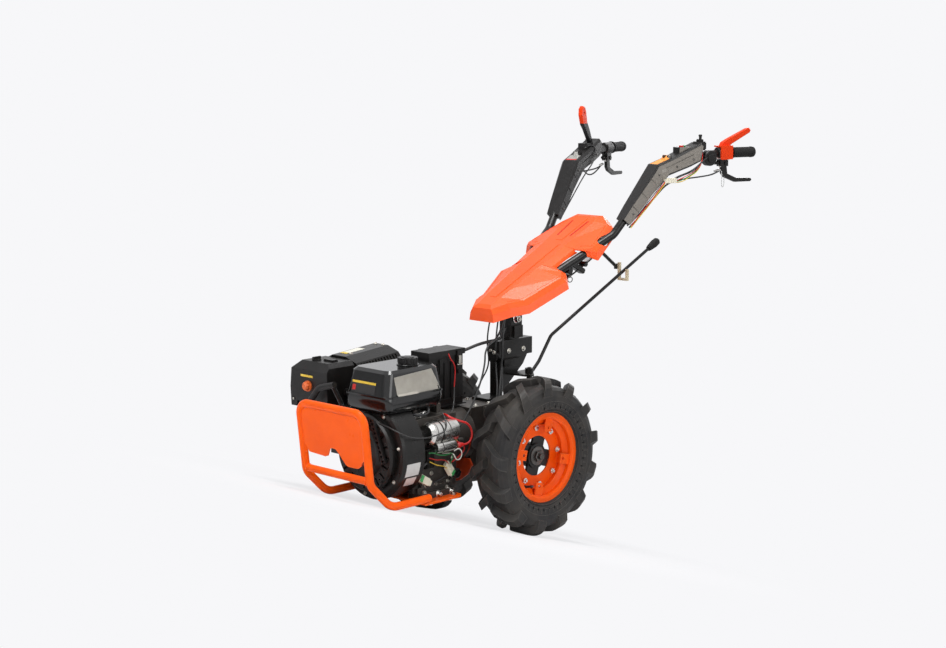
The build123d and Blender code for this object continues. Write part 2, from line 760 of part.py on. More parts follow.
def battery_box():
    t = BAT_WALL
    shape = block(BAT_X0, BAT_X1, BAT_Y0, BAT_Y1, BAT_Z0, BAT_Z1)
    shape -= block(BAT_X0 + t, BAT_X1 - t, BAT_Y0 + t, BAT_Y1 - t, BAT_Z0 + t, BAT_Z1 + 1)
    hinge_y = BAT_Y0 - HINGE_R
    for x0, x1 in ((BAT_X0 + 12, BAT_X0 + 32), (BAT_X1 - 32, BAT_X1 - 12)):
        knuckle = rod_x(x0, x1, hinge_y, BAT_Z1 - HINGE_R, HINGE_R)
        shape += knuckle + block(x0, x1, hinge_y, BAT_Y0 + 1, BAT_Z1 - 2 * HINGE_R, BAT_Z1 - HINGE_R)
    shape += rod_x(BAT_X0 + 12, BAT_X1 - 12, hinge_y, BAT_Z1 - HINGE_R, HINGE_PIN_R)
    latch_x = BAT_X0 + 92
    shape += block(latch_x, latch_x + 16, BAT_Y1, BAT_Y1 + 5, BAT_Z1 - 70, BAT_Z1 - 22)
    return shape


def battery():
    t = BAT_WALL
    shape = block(BAT_X0 + t, BAT_X1 - t, BAT_Y0 + t, BAT_Y1 - t, BAT_Z0 + t, BAT_Z1 - 34)
    for x in (BAT_X0 + 22, BAT_X1 - 22):
        shape += rod_z(x, BAT_Y1 - 18, BAT_Z1 - 35, BAT_Z1 - 24, 6)
    return shape


def battery_lid():
    g = LID_GAP
    x0 = BAT_X0 - g - LID_T
    x1 = BAT_X1 + g + LID_T
    y1 = BAT_Y1 + g + LID_T
    top = BAT_Z1 + 0.2
    shape = block(x0, x1, BAT_Y0 - 1, y1, top, top + LID_T)
    shape += block(x0, x1, y1 - LID_T, y1, top - LID_LIP, top)
    shape += block(x0, x0 + LID_T, BAT_Y0 - 1, y1, top - LID_LIP, top)
    shape += block(x1 - LID_T, x1, BAT_Y0 - 1, y1, top - LID_LIP, top)
    hinge_y = BAT_Y0 - HINGE_R
    hinge_z = BAT_Z1 - HINGE_R
    for x in (BAT_X0 + 42, BAT_X1 - 42):
        ear = rod_x(x - 9, x + 9, hinge_y, hinge_z, HINGE_R)
        ear += block(x - 9, x + 9, hinge_y - HINGE_R, hinge_y, hinge_z, top + LID_T)
        ear += block(x - 9, x + 9, hinge_y - HINGE_R, BAT_Y0 + 1, top + 0.5, top + LID_T)
        ear -= rod_x(x - 10, x + 10, hinge_y, hinge_z, HINGE_PIN_R + RUN_CLEAR)
        shape += ear
    return shape


def battery_tray():
    return block(BAT_X0 - 10, BAT_X1 + 6, BAT_Y0 - 6, BAT_Y1 + 6, BAT_Z0 - TRAY_T, BAT_Z0)


# Swivel base
def swivel_base():
    shape = block(BASE_X0, BASE_X1, -BASE_HALF, BASE_HALF, BASE_Z0, BASE_Z1)
    neck = [
        (BASE_X1 - 5, GEARBOX_TOP + 0.3),
        (BASE_X1 - 5, BASE_Z0 + 1),
        (BASE_X0 + 20, BASE_Z0 + 1),
        (BASE_X0 + 40, BASE_Z0 - 30),
        (GEARBOX_X0 + 22, GEARBOX_TOP + 20),
        (GEARBOX_X0 + 22, GEARBOX_TOP + 0.3),
    ]
    shape += slab_y(neck, -BASE_HALF + 3, BASE_HALF - 3)
    shape += block(GEARBOX_X0 + 22, 10, -BASE_HALF - 12, BASE_HALF + 12, GEARBOX_TOP + 0.3, GEARBOX_TOP + 10)
    shape += rod_x(BASE_X1 - 1, BASE_X1 + 14, 6, BASE_Z0 + 4, 20)
    shape += block(BASE_X0 + 66, BASE_X1 - 12, BASE_HALF - 1, BASE_HALF + 12, BASE_Z0 - 30, BASE_Z0 - 6)
    shape += block(BASE_X0 + 60, BASE_X1 - 8, BASE_HALF - 4, BASE_HALF - 0.5, BASE_Z0 - 34, BASE_Z0 + 2)
    shape -= rod_z(SWIVEL_X, 0, BASE_Z0 + 10, BASE_Z1 + 1, SPIGOT_R + RUN_CLEAR)
    shelf = ROD_PIN_Z - ROD_EYE_HALF - 2
    plate = [
        (ROD_PIN_X - 62, BASE_HALF - 6),
        (ROD_PIN_X + 34, BASE_HALF - 6),
        (ROD_PIN_X + 20, ROD_PIN_Y + 2),
        (ROD_PIN_X + 8, ROD_PIN_Y + 14),
        (ROD_PIN_X - 8, ROD_PIN_Y + 14),
        (ROD_PIN_X - 20, ROD_PIN_Y + 2),
    ]
    shape += slab_z(plate, shelf - 6, shelf)
    shape += rod_z(ROD_PIN_X, ROD_PIN_Y, shelf - 18, shelf - 5, ROD_PIN_R + 3)
    shape += rod_z(ROD_PIN_X, ROD_PIN_Y, shelf - 1, ROD_PIN_Z + ROD_EYE_HALF + 3, ROD_PIN_R)
    return shape


# Handlebar
def on_arm(shape):
    """Place a piece drawn in the arm's own plane: x rearward, y outward, z up."""
    turn = Rot(0, 0, 180 - SPLAY)
    return Pos(ARM_X, ARM_Y, 0) * turn * mirror(shape, about=Plane.XZ)


def arm_point(s, z, out=0.0):
    a = math.radians(SPLAY)
    x = ARM_X - s * math.cos(a) + out * math.sin(a)
    y = ARM_Y + s * math.sin(a) + out * math.cos(a)
    return (x, y, z)


def column():
    h = COLUMN_HALF
    seat = BASE_Z1 + FLANGE_GAP
    shape = block(SWIVEL_X - h, SWIVEL_X + h, -h, h, seat + 7, COLUMN_TOP)
    shape += rod_z(SWIVEL_X, 0, seat, seat + 8, h + 4)
    shape += rod_z(SWIVEL_X, 0, BASE_Z0 + 12, seat + 1, SPIGOT_R)
    shape += block(SWIVEL_X - 22, SWIVEL_X + 18, h, h + 8, seat + 4, seat + 44)
    shape += rod_y(SWIVEL_X, h, h + 12, COLUMN_TOP - 70, 9)
    return shape


arm_path = [
    (SWIVEL_X - 20, 46, COLUMN_TOP + 18),
    arm_point(-160, 662),
    arm_point(2, 846),
    arm_point(150, 910),
    arm_point(300, GRIP_Z),
    arm_point(GRIP_S1 - 4, GRIP_Z),
]
arm_bends = [60, 60, 60, 60]


def along_arm(distance):
    """A point on the arm's first straight run, so far from its start."""
    a = Vector(*arm_path[0])
    b = Vector(*arm_path[1])
    return a + (b - a).normalized() * distance


cross_bar = along_arm(CROSS_BAR_S)


def handlebar_frame():
    left = pipe(arm_path, ARM_TUBE_R, arm_bends)
    shape = left + flip(left)
    top = COLUMN_TOP + 30
    side = arm_path[0][1] + 12
    shape += rod_y(cross_bar.X, -cross_bar.Y, cross_bar.Y, cross_bar.Z, CROSS_BAR_R)
    under_cover = block(SWIVEL_X - 34, SWIVEL_X + 34, -side, side, COLUMN_TOP, top)
    for y0, y1 in ((-side, -COLUMN_HALF), (COLUMN_HALF, side)):
        under_cover += block(SWIVEL_X - 34, SWIVEL_X + 34, y0, y1, COLUMN_TOP - 30, top)
    under_cover += rod_z(SWIVEL_X, 0, top - 1, top + 60, 10)
    for y in (-60, 60):
        under_cover += rod_z(cross_bar.X, y, cross_bar.Z, cross_bar.Z + 90, 8)
    return shape + (under_cover & cover_room())


# Corners of one half of the cover, nose to tail: the flat ridge, the edge of the wing and the foot of the lip.
# A drop is measured straight down from the sloping line of the cover's top.
# ridge x, ridge y, edge x, edge y, edge drop, foot x, foot y, foot drop
cover_rows = [
    (-10, 28, 2, 41, 0, 4, 54, 42),
    (-50, 33, -44, 70, 6, -48, 82, 52),
    (-100, 38, -98, 92, 26, -108, 108, 74),
    (-212, 44, -232, 134, 28, -249, 153, 74),
    (-234, 46, -258, 112, 26, -284, 118, 70),
    (-252, 47, -248, 80, 6, -262, 86, 24),
    (-342, 50, -346, 88, 6, -356, 93, 24),
    (-360, 51, -350, 106, 8, -362, 111, 30),
    (-386, 54, -378, 142, 15, -386, 162, 60),
    (-486, 58, -508, 102, 15, -522, 126, 55),
    (-512, 46, -534, 56, 2, -552, 62, 42),
]
cover_level = 450.0


def cover_height(x):
    return cover_level - COVER_SLOPE * x


def cover_ring(corners, wall, sink):
    """Both halves of one outline, every side drawn in by the wall and lowered by sink."""
    ring = corners + [(x, -y, drop) for x, y, drop in reversed(corners)]
    points = []
    for i, (x, y, drop) in enumerate(ring):
        before = ring[i - 1]
        after = ring[(i + 1) % len(ring)]
        one = Vector(before[1] - y, x - before[0]).normalized()
        two = Vector(y - after[1], after[0] - x).normalized()
        inward = (one + two) * (wall / (1 + one.dot(two)))
        points.append((x + inward.X, y + inward.Y, cover_height(x) - drop - sink))
    return points


def cover_body(wall, sink, tail):
    """The cover as one solid; with a wall it is the room inside it, reaching down by tail."""
    bends = []
    for _, _, ex, ey, ed, fx, fy, fd in cover_rows:
        bends.append((ex + 0.7 * (fx - ex), ey + 0.7 * (fy - ey), ed + 0.4 * (fd - ed)))
    rings = [
        cover_ring([(rx, ry, -RIDGE_RISE) for rx, ry, *_ in cover_rows], wall, sink),
        cover_ring([(ex, ey, ed) for _, _, ex, ey, ed, *_ in cover_rows], wall, sink),
        cover_ring(bends, wall, sink),
        cover_ring([(fx, fy, fd) for *_, fx, fy, fd in cover_rows], wall, sink),
    ]
    if tail:
        rings.append([(x, y, z - tail) for x, y, z in rings[-1]])
    faces = []
    count = len(rings[0])
    for upper, lower in zip(rings, rings[1:]):
        for i in range(count):
            j = (i + 1) % count
            faces.append(make_face(Polyline(upper[i], lower[i], lower[j], close=True)))
            faces.append(make_face(Polyline(upper[i], lower[j], upper[j], close=True)))
    for ring in (rings[0], rings[-1]):
        for i in range(len(cover_rows) - 1):
            far = count - 1 - i
            faces.append(make_face(Polyline(ring[i], ring[i + 1], ring[far - 1], ring[far], close=True)))
    return Solid(Shell([piece for face in faces for piece in face.faces()]))


def cover_room():
    return cover_body(COVER_WALL, 2 * COVER_WALL, 160)


def on_cover(shape):
    """Place a piece drawn flat, with z = 0 on the sloping line of the cover's top."""
    return Pos(0, 0, cover_level) * Rot(0, math.degrees(math.atan(COVER_SLOPE)), 0) * shape


def cover():
    shape = cover_body(0, 0, 0) - cover_room()
    stretch = math.hypot(1, COVER_SLOPE)
    for side in (-1, 1):
        long_slot = block(-52, 52, -5, 5, -2, 20)
        shape -= Pos(-440 * stretch, side * 30, 4) * Rot(0, 0, -5 * side) * long_slot
    return shape


shell_outline = [
    (-133, 712),
    (0, 892),
    (60, 912),
    (186, 962),
    (200, 950),
    (186, 898),
    (141, 881),
    (50, 854),
    (-21, 789),
    (-107, 694),
]


def shell_left():
    face = make_face(Plane.XZ * Polyline(*shell_outline, close=True))
    body = extrude(face, amount=SHELL_HALF, both=True)
    rims = body.faces().sort_by(Axis.Y)[0].edges() + body.faces().sort_by(Axis.Y)[-1].edges()
    body = chamfer(rims, SHELL_EDGE)
    for side in (-1, 1):
        wedge = [(side * SHELL_HALF, 860), (side * SHELL_FOOT_HALF, 690), (side * 60, 690), (side * 60, 860)]
        body -= slab_x(wedge, -200, 20)
    for side in (-1, 1):
        for s, z in ((-86, 745), (-52, 790), (-18, 836)):
            half = SHELL_HALF - (SHELL_HALF - SHELL_FOOT_HALF) * (860 - z) / 170
            groove = block(-16, 16, -1.5, 1.5, -1.6, 1.6)
            body -= Pos(s, side * half, z) * Rot(0, 40, 0) * groove
        long_groove = block(-62, 62, -1.5, 1.5, -1.6, 1.6)
        body -= Pos(92, side * SHELL_HALF, 902) * Rot(0, -20, 0) * long_groove
    body += rod_z(60, 0, 905, 922, 15) + block(100, 150, -18, 18, 920, 948)
    placed = on_arm(body)
    return placed - pipe(arm_path, ARM_TUBE_R, arm_bends)


def grip_left():
    """A ribbed grip with a flange at its inner end, turned about the arm."""
    line = [(GRIP_S0, 0), (GRIP_S0, GRIP_R + 4), (GRIP_S0 + 4, GRIP_R + 4), (GRIP_S0 + 6, GRIP_R)]
    pitch = (GRIP_S1 - GRIP_S0 - 22) / GRIP_RINGS
    for k in range(GRIP_RINGS):
        s = GRIP_S0 + 10 + pitch * k
        line += [(s, GRIP_R), (s + 1.5, GRIP_R - 1.5), (s + 3, GRIP_R - 1.5), (s + 4.5, GRIP_R)]
    line += [(GRIP_S1 - 5, GRIP_R), (GRIP_S1, GRIP_R - 5), (GRIP_S1, 0)]
    body = on_arm(Pos(0, 0, GRIP_Z) * turned_x(line))
    return body - pipe(arm_path, ARM_TUBE_R, arm_bends)


def lever_mount_left():
    line = [(MOUNT_S0, 0), (MOUNT_S0, MOUNT_R - 3), (MOUNT_S0 + 3, MOUNT_R), (MOUNT_S1 - 3, MOUNT_R)]
    line += [(MOUNT_S1, MOUNT_R - 3), (MOUNT_S1, 0)]
    body = Pos(0, 0, GRIP_Z) * turned_x(line)
    mid = (MOUNT_S0 + MOUNT_S1) / 2
    body += block(mid - 17, mid + 17, -11, 11, GRIP_Z - MOUNT_R - 26, GRIP_Z - 12)
    body += rod_x(mid - 38, mid - 12, 0, GRIP_Z - MOUNT_R - 14, 6)
    body += rod_y(mid + 6, -15, 15, GRIP_Z - MOUNT_R - 16, 6)
    return on_arm(body) - pipe(arm_path, ARM_TUBE_R, arm_bends)


def brake_lever_left():
    """A bent blade lever below the grip, ending in a rounded tip."""
    mid = (MOUNT_S0 + MOUNT_S1) / 2
    top = GRIP_Z - MOUNT_R - 26.3
    line = [
        (mid - 8, top),
        (mid + 14, top),
        (mid + 18, top - 26),
        (mid + 58, top - 42),
        (mid + 122, top - 44),
        (mid + 128, top - 50),
        (mid + 122, top - 56),
        (mid + 54, top - 56),
        (mid + 6, top - 38),
        (mid - 6, top - 24),
    ]
    face = make_face(Plane.XZ * Polyline(*line, close=True))
    return on_arm(extrude(face, amount=6, both=True))


def big_lever_left():
    top = GRIP_Z + MOUNT_R + 0.3
    line = [
        (MOUNT_S0 + 12, top),
        (MOUNT_S1 - 2, top),
        (MOUNT_S1 + 6, top + 9),
        (MOUNT_S1 + 88, top + 48),
        (MOUNT_S1 + 92, top + 56),
        (MOUNT_S1 + 84, top + 64),
        (MOUNT_S1 + 74, top + 62),
        (MOUNT_S1 - 12, top + 27),
        (MOUNT_S0 + 20, top + 16),
    ]
    face = make_face(Plane.XZ * Polyline(*line, close=True))
    body = extrude(face, amount=8, both=True)
    body = chamfer(body.faces().sort_by(Axis.Y)[0].edges() + body.faces().sort_by(Axis.Y)[-1].edges(), 2)
    body += block(MOUNT_S0 + 1, MOUNT_S1 - 2, -15, MOUNT_R + 6, top, top + 5)
    body += block(MOUNT_S0 + 1, MOUNT_S1 - 2, MOUNT_R + 1, MOUNT_R + 6, GRIP_Z - 22, top + 1)
    return on_arm(body)


def throttle_lever():
    """A flat bent lever with a rounded tip and a round hole."""
    line = [
        (158, 938),
        (176, 938),
        (140, 1000),
        (122, 1024),
        (112, 1062),
        (104, 1076),
        (90, 1080),
        (79, 1071),
        (77, 1048),
        (92, 1012),
        (110, 996),
    ]
    face = make_face(Plane.XZ * Polyline(*line, close=True))
    body = extrude(face, amount=8, both=True)
    body = chamfer(body.faces().sort_by(Axis.Y)[0].edges() + body.faces().sort_by(Axis.Y)[-1].edges(), 2.5)
    body -= rod_y(96, -10, 10, 1056, 4.5)
    return flip(on_arm(body))


rod_rise = (598.0 - 346.0) / (740.0 - 222.0)
guide_z = 346.0 + (-222.0 - GUIDE_X) * rod_rise


def guide_hook():
    """An open hook under the rod, deep and wide enough for the rod to slide as the handlebar turns."""
    half = GUIDE_SLOT / 2
    y = ROD_Y + GUIDE_OFFSET
    floor = guide_z - GUIDE_DEPTH
    t = 8.0
    shape = block(GUIDE_X - 5, GUIDE_X + 5, y - half - t, y + half + t, floor - t, floor)
    shape += block(GUIDE_X - 5, GUIDE_X + 5, y - half - t, y - half, floor - 1, guide_z + 26)
    shape += block(GUIDE_X - 5, GUIDE_X + 5, y + half, y + half + t, floor - 1, guide_z + 4)
    return shape


def guide_bracket():
    y = ROD_Y + GUIDE_OFFSET - GUIDE_SLOT / 2 - 8.0
    z = guide_z + 12
    start = (cross_bar.X, 60, cross_bar.Z - 6)
    bar = pipe([start, (cross_bar.X - 70, 60, cross_bar.Z - 46), (GUIDE_X + 6, y - 6, z)], 6, [20])
    return bar + block(GUIDE_X - 5, GUIDE_X + 10, y - 12, y - 0.3, z - 9, z + 9)


# Gear rod
def gear_rod():
    path = [
        (ROD_PIN_X - ROD_EYE_R + 2, ROD_PIN_Y + 4, ROD_PIN_Z),
        (ROD_PIN_X - 34, ROD_Y, ROD_PIN_Z + 30),
        (-222, ROD_Y, 346),
        (-740, ROD_Y, 346 + (740 - 222) * rod_rise),
    ]
    shape = pipe(path, ROD_R, [20, 40])
    h = ROD_EYE_HALF
    shape += rod_z(ROD_PIN_X, ROD_PIN_Y, ROD_PIN_Z - h, ROD_PIN_Z + h, ROD_EYE_R)
    return shape - rod_z(ROD_PIN_X, ROD_PIN_Y, ROD_PIN_Z - h - 1, ROD_PIN_Z + h + 5, ROD_PIN_R + RUN_CLEAR)


def gear_knob():
    """A long knob pushed over the upper end of the rod, turned about the rod."""
    start = Vector(-730, ROD_Y, 346 + (730 - 222) * rod_rise)
    along = Vector(-1, 0, rod_rise).normalized()
    line = [(0, 0), (0, 9), (8, 11), (34, 14), (52, 13), (60, 7), (61, 0)]
    knob = turned_x(line)
    place = Plane(origin=start, x_dir=along, z_dir=Vector(0, 1, 0).cross(along))
    return place.location * knob - gear_rod()


def build():
    out = wheel_pieces()
    out["bumper"] = bumper()
    out["bumper_panel"] = bumper_panel() - out["bumper"]
    out["base_plate"] = base_plate()
    out["crankcase"] = crankcase()
    out["cylinder_head"] = cylinder_head()
    out["fan_shroud"] = fan_shroud() - out["crankcase"]
    out["recoil_cover"] = recoil_cover()
    out["recoil_handle"] = recoil_handle() - out["recoil_cover"]
    out["side_grille"] = side_grille() - out["recoil_cover"]
    out["starter_motor"] = starter() - out["crankcase"] - out["fan_shroud"]
    out["regulator"] = regulator() - out["starter_motor"]
    out["fuel_tank"] = tank()
    out["fuel_cap"] = fuel_cap()
    out["air_cleaner"] = air_cleaner()
    out["air_cleaner_knob"] = air_cleaner_knob()
    out["muffler_guard"] = muffler_guard()
    out["head_bracket"] = head_bracket()
    out["clutch_housing"] = clutch_housing()
    out["gearbox"] = gearbox()
    out["output_cover"] = output_cover()
    out["hitch"] = hitch() - rod_x(GEARBOX_X0 - 24, GEARBOX_X0 + 1, 0, OUTPUT_Z, OUTPUT_R + 4.3)
    out["battery_box"] = battery_box()
    out["battery"] = battery()
    out["battery_lid"] = battery_lid()
    out["battery_tray"] = battery_tray()
    out["swivel_base"] = swivel_base()
    out["column"] = column()
    out["handlebar_frame"] = handlebar_frame()
    arms = pipe(arm_path, ARM_TUBE_R + ARM_CLEAR, arm_bends)
    out["cover"] = cover() - arms - flip(arms)
    for name, maker in (
        ("arm_shell", shell_left),
        ("grip", grip_left),
        ("lever_mount", lever_mount_left),
        ("brake_lever", brake_lever_left),
    ):
        out[name + "_left"] = maker()
        out[name + "_right"] = flip(maker())
    out["clutch_lever"] = big_lever_left()
    out["throttle_lever"] = throttle_lever() - out["arm_shell_right"]
    out["guide_hook"] = guide_hook()
    out["guide_bracket"] = guide_bracket() - out["guide_hook"] - out["handlebar_frame"]
    out["gear_rod"] = gear_rod()
    out["gear_knob"] = gear_knob()
    return out


def park(shape, shift_x, shift_y):
    return Pos(shift_x, shift_y, LUG_TIP_R) * Rot(0, NOSE_DOWN, 0) * shape


def main():
    pieces = build()
    whole = Compound(children=[park(shape, 0, 0) for shape in pieces.values()]).bounding_box()
    shift_x = -(whole.min.X + whole.max.X) / 2
    shift_y = -(whole.min.Y + whole.max.Y) / 2
    os.makedirs("parts", exist_ok=True)
    for name, shape in pieces.items():
        export_step(park(shape, shift_x, shift_y), "parts/" + name + ".step")
    print("nose down", NOSE_DOWN, "shift x", shift_x, "shift y", shift_y, "pieces", len(pieces))


if __name__ == "__main__":
    main()
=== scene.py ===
import json
import math

import bmesh
import bpy
from mathutils import Matrix, Vector
from mathutils.bvhtree import BVHTree


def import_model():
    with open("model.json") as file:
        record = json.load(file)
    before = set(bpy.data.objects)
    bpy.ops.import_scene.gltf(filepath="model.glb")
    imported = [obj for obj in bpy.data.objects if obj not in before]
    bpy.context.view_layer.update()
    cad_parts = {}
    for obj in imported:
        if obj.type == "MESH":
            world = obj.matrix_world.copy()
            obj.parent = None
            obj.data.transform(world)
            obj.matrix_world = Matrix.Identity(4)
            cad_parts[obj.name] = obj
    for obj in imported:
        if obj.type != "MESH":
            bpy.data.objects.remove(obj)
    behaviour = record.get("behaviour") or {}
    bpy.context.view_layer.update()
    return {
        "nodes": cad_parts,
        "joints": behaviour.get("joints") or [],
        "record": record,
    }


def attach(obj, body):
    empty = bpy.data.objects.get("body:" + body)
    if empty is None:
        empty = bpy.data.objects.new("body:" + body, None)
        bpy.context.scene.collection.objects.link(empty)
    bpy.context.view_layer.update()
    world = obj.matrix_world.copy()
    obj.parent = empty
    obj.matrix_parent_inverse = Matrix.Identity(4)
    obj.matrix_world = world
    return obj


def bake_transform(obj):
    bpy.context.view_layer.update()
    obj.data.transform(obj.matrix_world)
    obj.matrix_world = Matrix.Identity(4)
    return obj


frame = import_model()
NODES = frame["nodes"]
SLOTS = {part["node"]: part["material_slot"] for part in frame["record"]["subparts"]}
BODIES = {node: body for body, nodes in frame["record"]["behaviour"]["bodies"].items() for node in nodes}

# Machine frame: axle centre at the origin, +X forward, +Y left, +Z up, machine level.
# Pieces are drawn in it in millimetres, and PARK carries it to the parked machine, nose down on its bumper.
joints = {joint["name"]: joint for joint in frame["joints"]}
swivel_axis = Vector(joints["handlebar_swivel"]["axis"])
nose_down = math.atan2(swivel_axis.x, swivel_axis.z)
left_wheel = Vector(joints["wheel_left_roll"]["pos_m"])
right_wheel = Vector(joints["wheel_right_roll"]["pos_m"])
PARK = Matrix.Translation((left_wheel + right_wheel) / 2) @ Matrix.Rotation(nose_down, 4, "Y")
MM = 0.001
MM_IN_METRE = 1000
LEFT, RIGHT = 1, -1
HAND = {LEFT: "left", RIGHT: "right"}
UP, DOWN = (0, 0, 1), (0, 0, -1)
FORWARD, BACK = (1, 0, 0), (-1, 0, 0)
LEFTWARD = (0, 1, 0)


# Shader nodes
def feed(tree, value, socket):
    """Sets a socket to a constant, or links another node's output to it."""
    if isinstance(value, bpy.types.NodeSocket):
        tree.links.new(value, socket)
    else:
        socket.default_value = value


def math_node(tree, operation, *values):
    node = tree.nodes.new("ShaderNodeMath")
    node.operation = operation
    for socket, value in zip(node.inputs, values):
        feed(tree, value, socket)
    return node.outputs["Value"]


def mixed(tree, factor, first, second, kind="RGBA"):
    """first where the factor is 0 and second where it is 1, for colours or, with kind FLOAT, for numbers."""
    node = tree.nodes.new("ShaderNodeMix")
    node.data_type = kind
    low, high, out = (6, 7, 2) if kind == "RGBA" else (2, 3, 0)
    tree.links.new(factor, node.inputs["Factor"])
    feed(tree, first, node.inputs[low])
    feed(tree, second, node.inputs[high])
    return node.outputs[out]


def remap(tree, value, from_ends=(0.0, 1.0), to_ends=(0.0, 1.0), kind="LINEAR"):
    node = tree.nodes.new("ShaderNodeMapRange")
    node.interpolation_type = kind
    for socket, end in zip(("From Min", "From Max", "To Min", "To Max"), from_ends + to_ends):
        node.inputs[socket].default_value = end
    tree.links.new(value, node.inputs["Value"])
    return node.outputs["Result"]


def noise(tree, scale, detail=4.0, rough=0.6):
    place = tree.nodes.new("ShaderNodeTexCoord")
    node = tree.nodes.new("ShaderNodeTexNoise")
    node.inputs["Scale"].default_value = scale
    node.inputs["Detail"].default_value = detail
    node.inputs["Roughness"].default_value = rough
    tree.links.new(place.outputs["Object"], node.inputs["Vector"])
    return node.outputs["Fac"]


def ramp(tree, value, low, high, first, last):
    node = tree.nodes.new("ShaderNodeValToRGB")
    for element, position, color in zip(node.color_ramp.elements, (low, high), (first, last)):
        element.position = position
        element.color = (*color, 1)
    tree.links.new(value, node.inputs["Fac"])
    return node.outputs["Color"]


def dot_product(tree, one, two):
    node = tree.nodes.new("ShaderNodeVectorMath")
    node.operation = "DOT_PRODUCT"
    feed(tree, one, node.inputs[0])
    feed(tree, two, node.inputs[1])
    return node.outputs["Value"]


def edge_wear(tree, width):
    """Near 1 on chipped stretches of the edges and 0 elsewhere."""
    bevel = tree.nodes.new("ShaderNodeBevel")
    bevel.samples = 4
    bevel.inputs["Radius"].default_value = width
    geometry = tree.nodes.new("ShaderNodeNewGeometry")
    edge = remap(tree, dot_product(tree, bevel.outputs["Normal"], geometry.outputs["Normal"]), (0.98, 0.8))
    return math_node(tree, "MULTIPLY", edge, noise(tree, 160.0, 6.0, 0.7))


def finish_of(name, color, second, roughness, spread=0.08, scale=18.0, bump=0.0, grain=400.0, metallic=0.0,
              coat=0.0, specular=0.5, wear=None, wear_width=0.006):
    """Colour that drifts between two tones, uneven roughness, fine grain and a worn tone along edges."""
    made = bpy.data.materials.new(name)
    made.use_nodes = True
    tree = made.node_tree
    principled = tree.nodes["Principled BSDF"]
    principled.inputs["Metallic"].default_value = metallic
    principled.inputs["Coat Weight"].default_value = coat
    principled.inputs["Coat Roughness"].default_value = 0.12
    principled.inputs["Specular IOR Level"].default_value = specular
    tone = ramp(tree, noise(tree, scale), 0.35, 0.7, color, second)
    if wear:
        tone = mixed(tree, edge_wear(tree, wear_width), tone, (*wear, 1))
    tree.links.new(tone, principled.inputs["Base Color"])
    ends = (max(0.02, roughness - spread), min(1.0, roughness + spread))
    uneven = remap(tree, noise(tree, scale * 2.3), to_ends=ends)
    tree.links.new(uneven, principled.inputs["Roughness"])
    if bump:
        relief = tree.nodes.new("ShaderNodeBump")
        relief.inputs["Strength"].default_value = bump
        relief.inputs["Distance"].default_value = 0.001
        tree.links.new(noise(tree, grain, 3.0, 0.5), relief.inputs["Height"])
        tree.links.new(relief.outputs["Normal"], principled.inputs["Normal"])
    return made


# Materials of the slots: two tones, roughness, its spread, scale of the drift, bump, grain, and the rest
LOOKS = {
    "tyre_rubber": ((0.012, 0.012, 0.013), (0.042, 0.037, 0.032), 0.52, 0.12, 9.0, 0.5, 260.0,
        {"specular": 0.26, "wear": (0.10, 0.09, 0.08), "wear_width": 0.005}),
    "wheel_orange": ((0.92, 0.10, 0.003), (0.84, 0.085, 0.003), 0.3, 0.08, 12.0, 0.15, 90.0,
        {"specular": 0.14, "wear": (0.95, 0.3, 0.12), "wear_width": 0.002}),
    "frame_orange": ((0.94, 0.115, 0.004), (0.86, 0.095, 0.003), 0.3, 0.08, 12.0, 0.15, 90.0,
        {"specular": 0.14, "wear": (0.95, 0.35, 0.18), "wear_width": 0.002}),
    "hub_black": ((0.005,) * 3, (0.01,) * 3, 0.32, 0.1, 30.0, 0.2, 200.0, {"specular": 0.3}),
    "black_paint": ((0.005, 0.0045, 0.004), (0.009, 0.0085, 0.008), 0.3, 0.1, 24.0, 0.15, 160.0,
        {"specular": 0.3, "wear": (0.09, 0.08, 0.07), "wear_width": 0.0015}),
    "tank_black": ((0.004,) * 3, (0.007,) * 3, 0.16, 0.05, 8.0, {"coat": 0.35, "specular": 0.35}),
    "cast_grey": ((0.034, 0.03, 0.026), (0.075, 0.067, 0.06), 0.5, 0.12, 14.0, 0.6, 320.0,
        {"metallic": 0.3, "specular": 0.35, "wear": (0.3, 0.27, 0.23), "wear_width": 0.003}),
    "bright_steel": ((0.7, 0.69, 0.66), (0.55, 0.54, 0.52), 0.24, 0.08, 40.0, 0.1, 500.0, {"metallic": 1.0}),
    "cover_orange": ((1.0, 0.1, 0.008), (0.95, 0.088, 0.007), 0.38, 0.05, 10.0, 0.12, 700.0,
        {"specular": 0.4}),
    "lever_orange": ((0.78, 0.045, 0.002), (0.7, 0.038, 0.002), 0.4, 0.06, 20.0, 0.2, 600.0,
        {"specular": 0.2}),
    "knob_orange": ((0.75, 0.15, 0.03), (0.7, 0.13, 0.025), 0.45, 0.06, 20.0, 0.2, 600.0, {}),
    "black_plastic": ((0.006, 0.0055, 0.005), (0.011, 0.01, 0.01), 0.36, 0.08, 22.0, 0.3, 900.0,
        {"specular": 0.28}),
    "soft_black": ((0.007, 0.0065, 0.006), (0.011, 0.011, 0.011), 0.6, 0.1, 40.0, 0.5, 700.0,
        {"specular": 0.25}),
    "ivory_plastic": ((0.72, 0.62, 0.42), (0.66, 0.56, 0.36), 0.5, 0.06, 30.0, 0.2, 600.0, {}),
    "battery_grey": ((0.06, 0.06, 0.066), (0.08, 0.08, 0.085), 0.55, 0.06, 30.0, 0.2, 600.0, {}),
}
MATERIALS = {name: finish_of(name, *look, **rest) for name, (*look, rest) in LOOKS.items()}
for node, thing in NODES.items():
    thing.data.materials.clear()
    thing.data.materials.append(MATERIALS[SLOTS[node]])

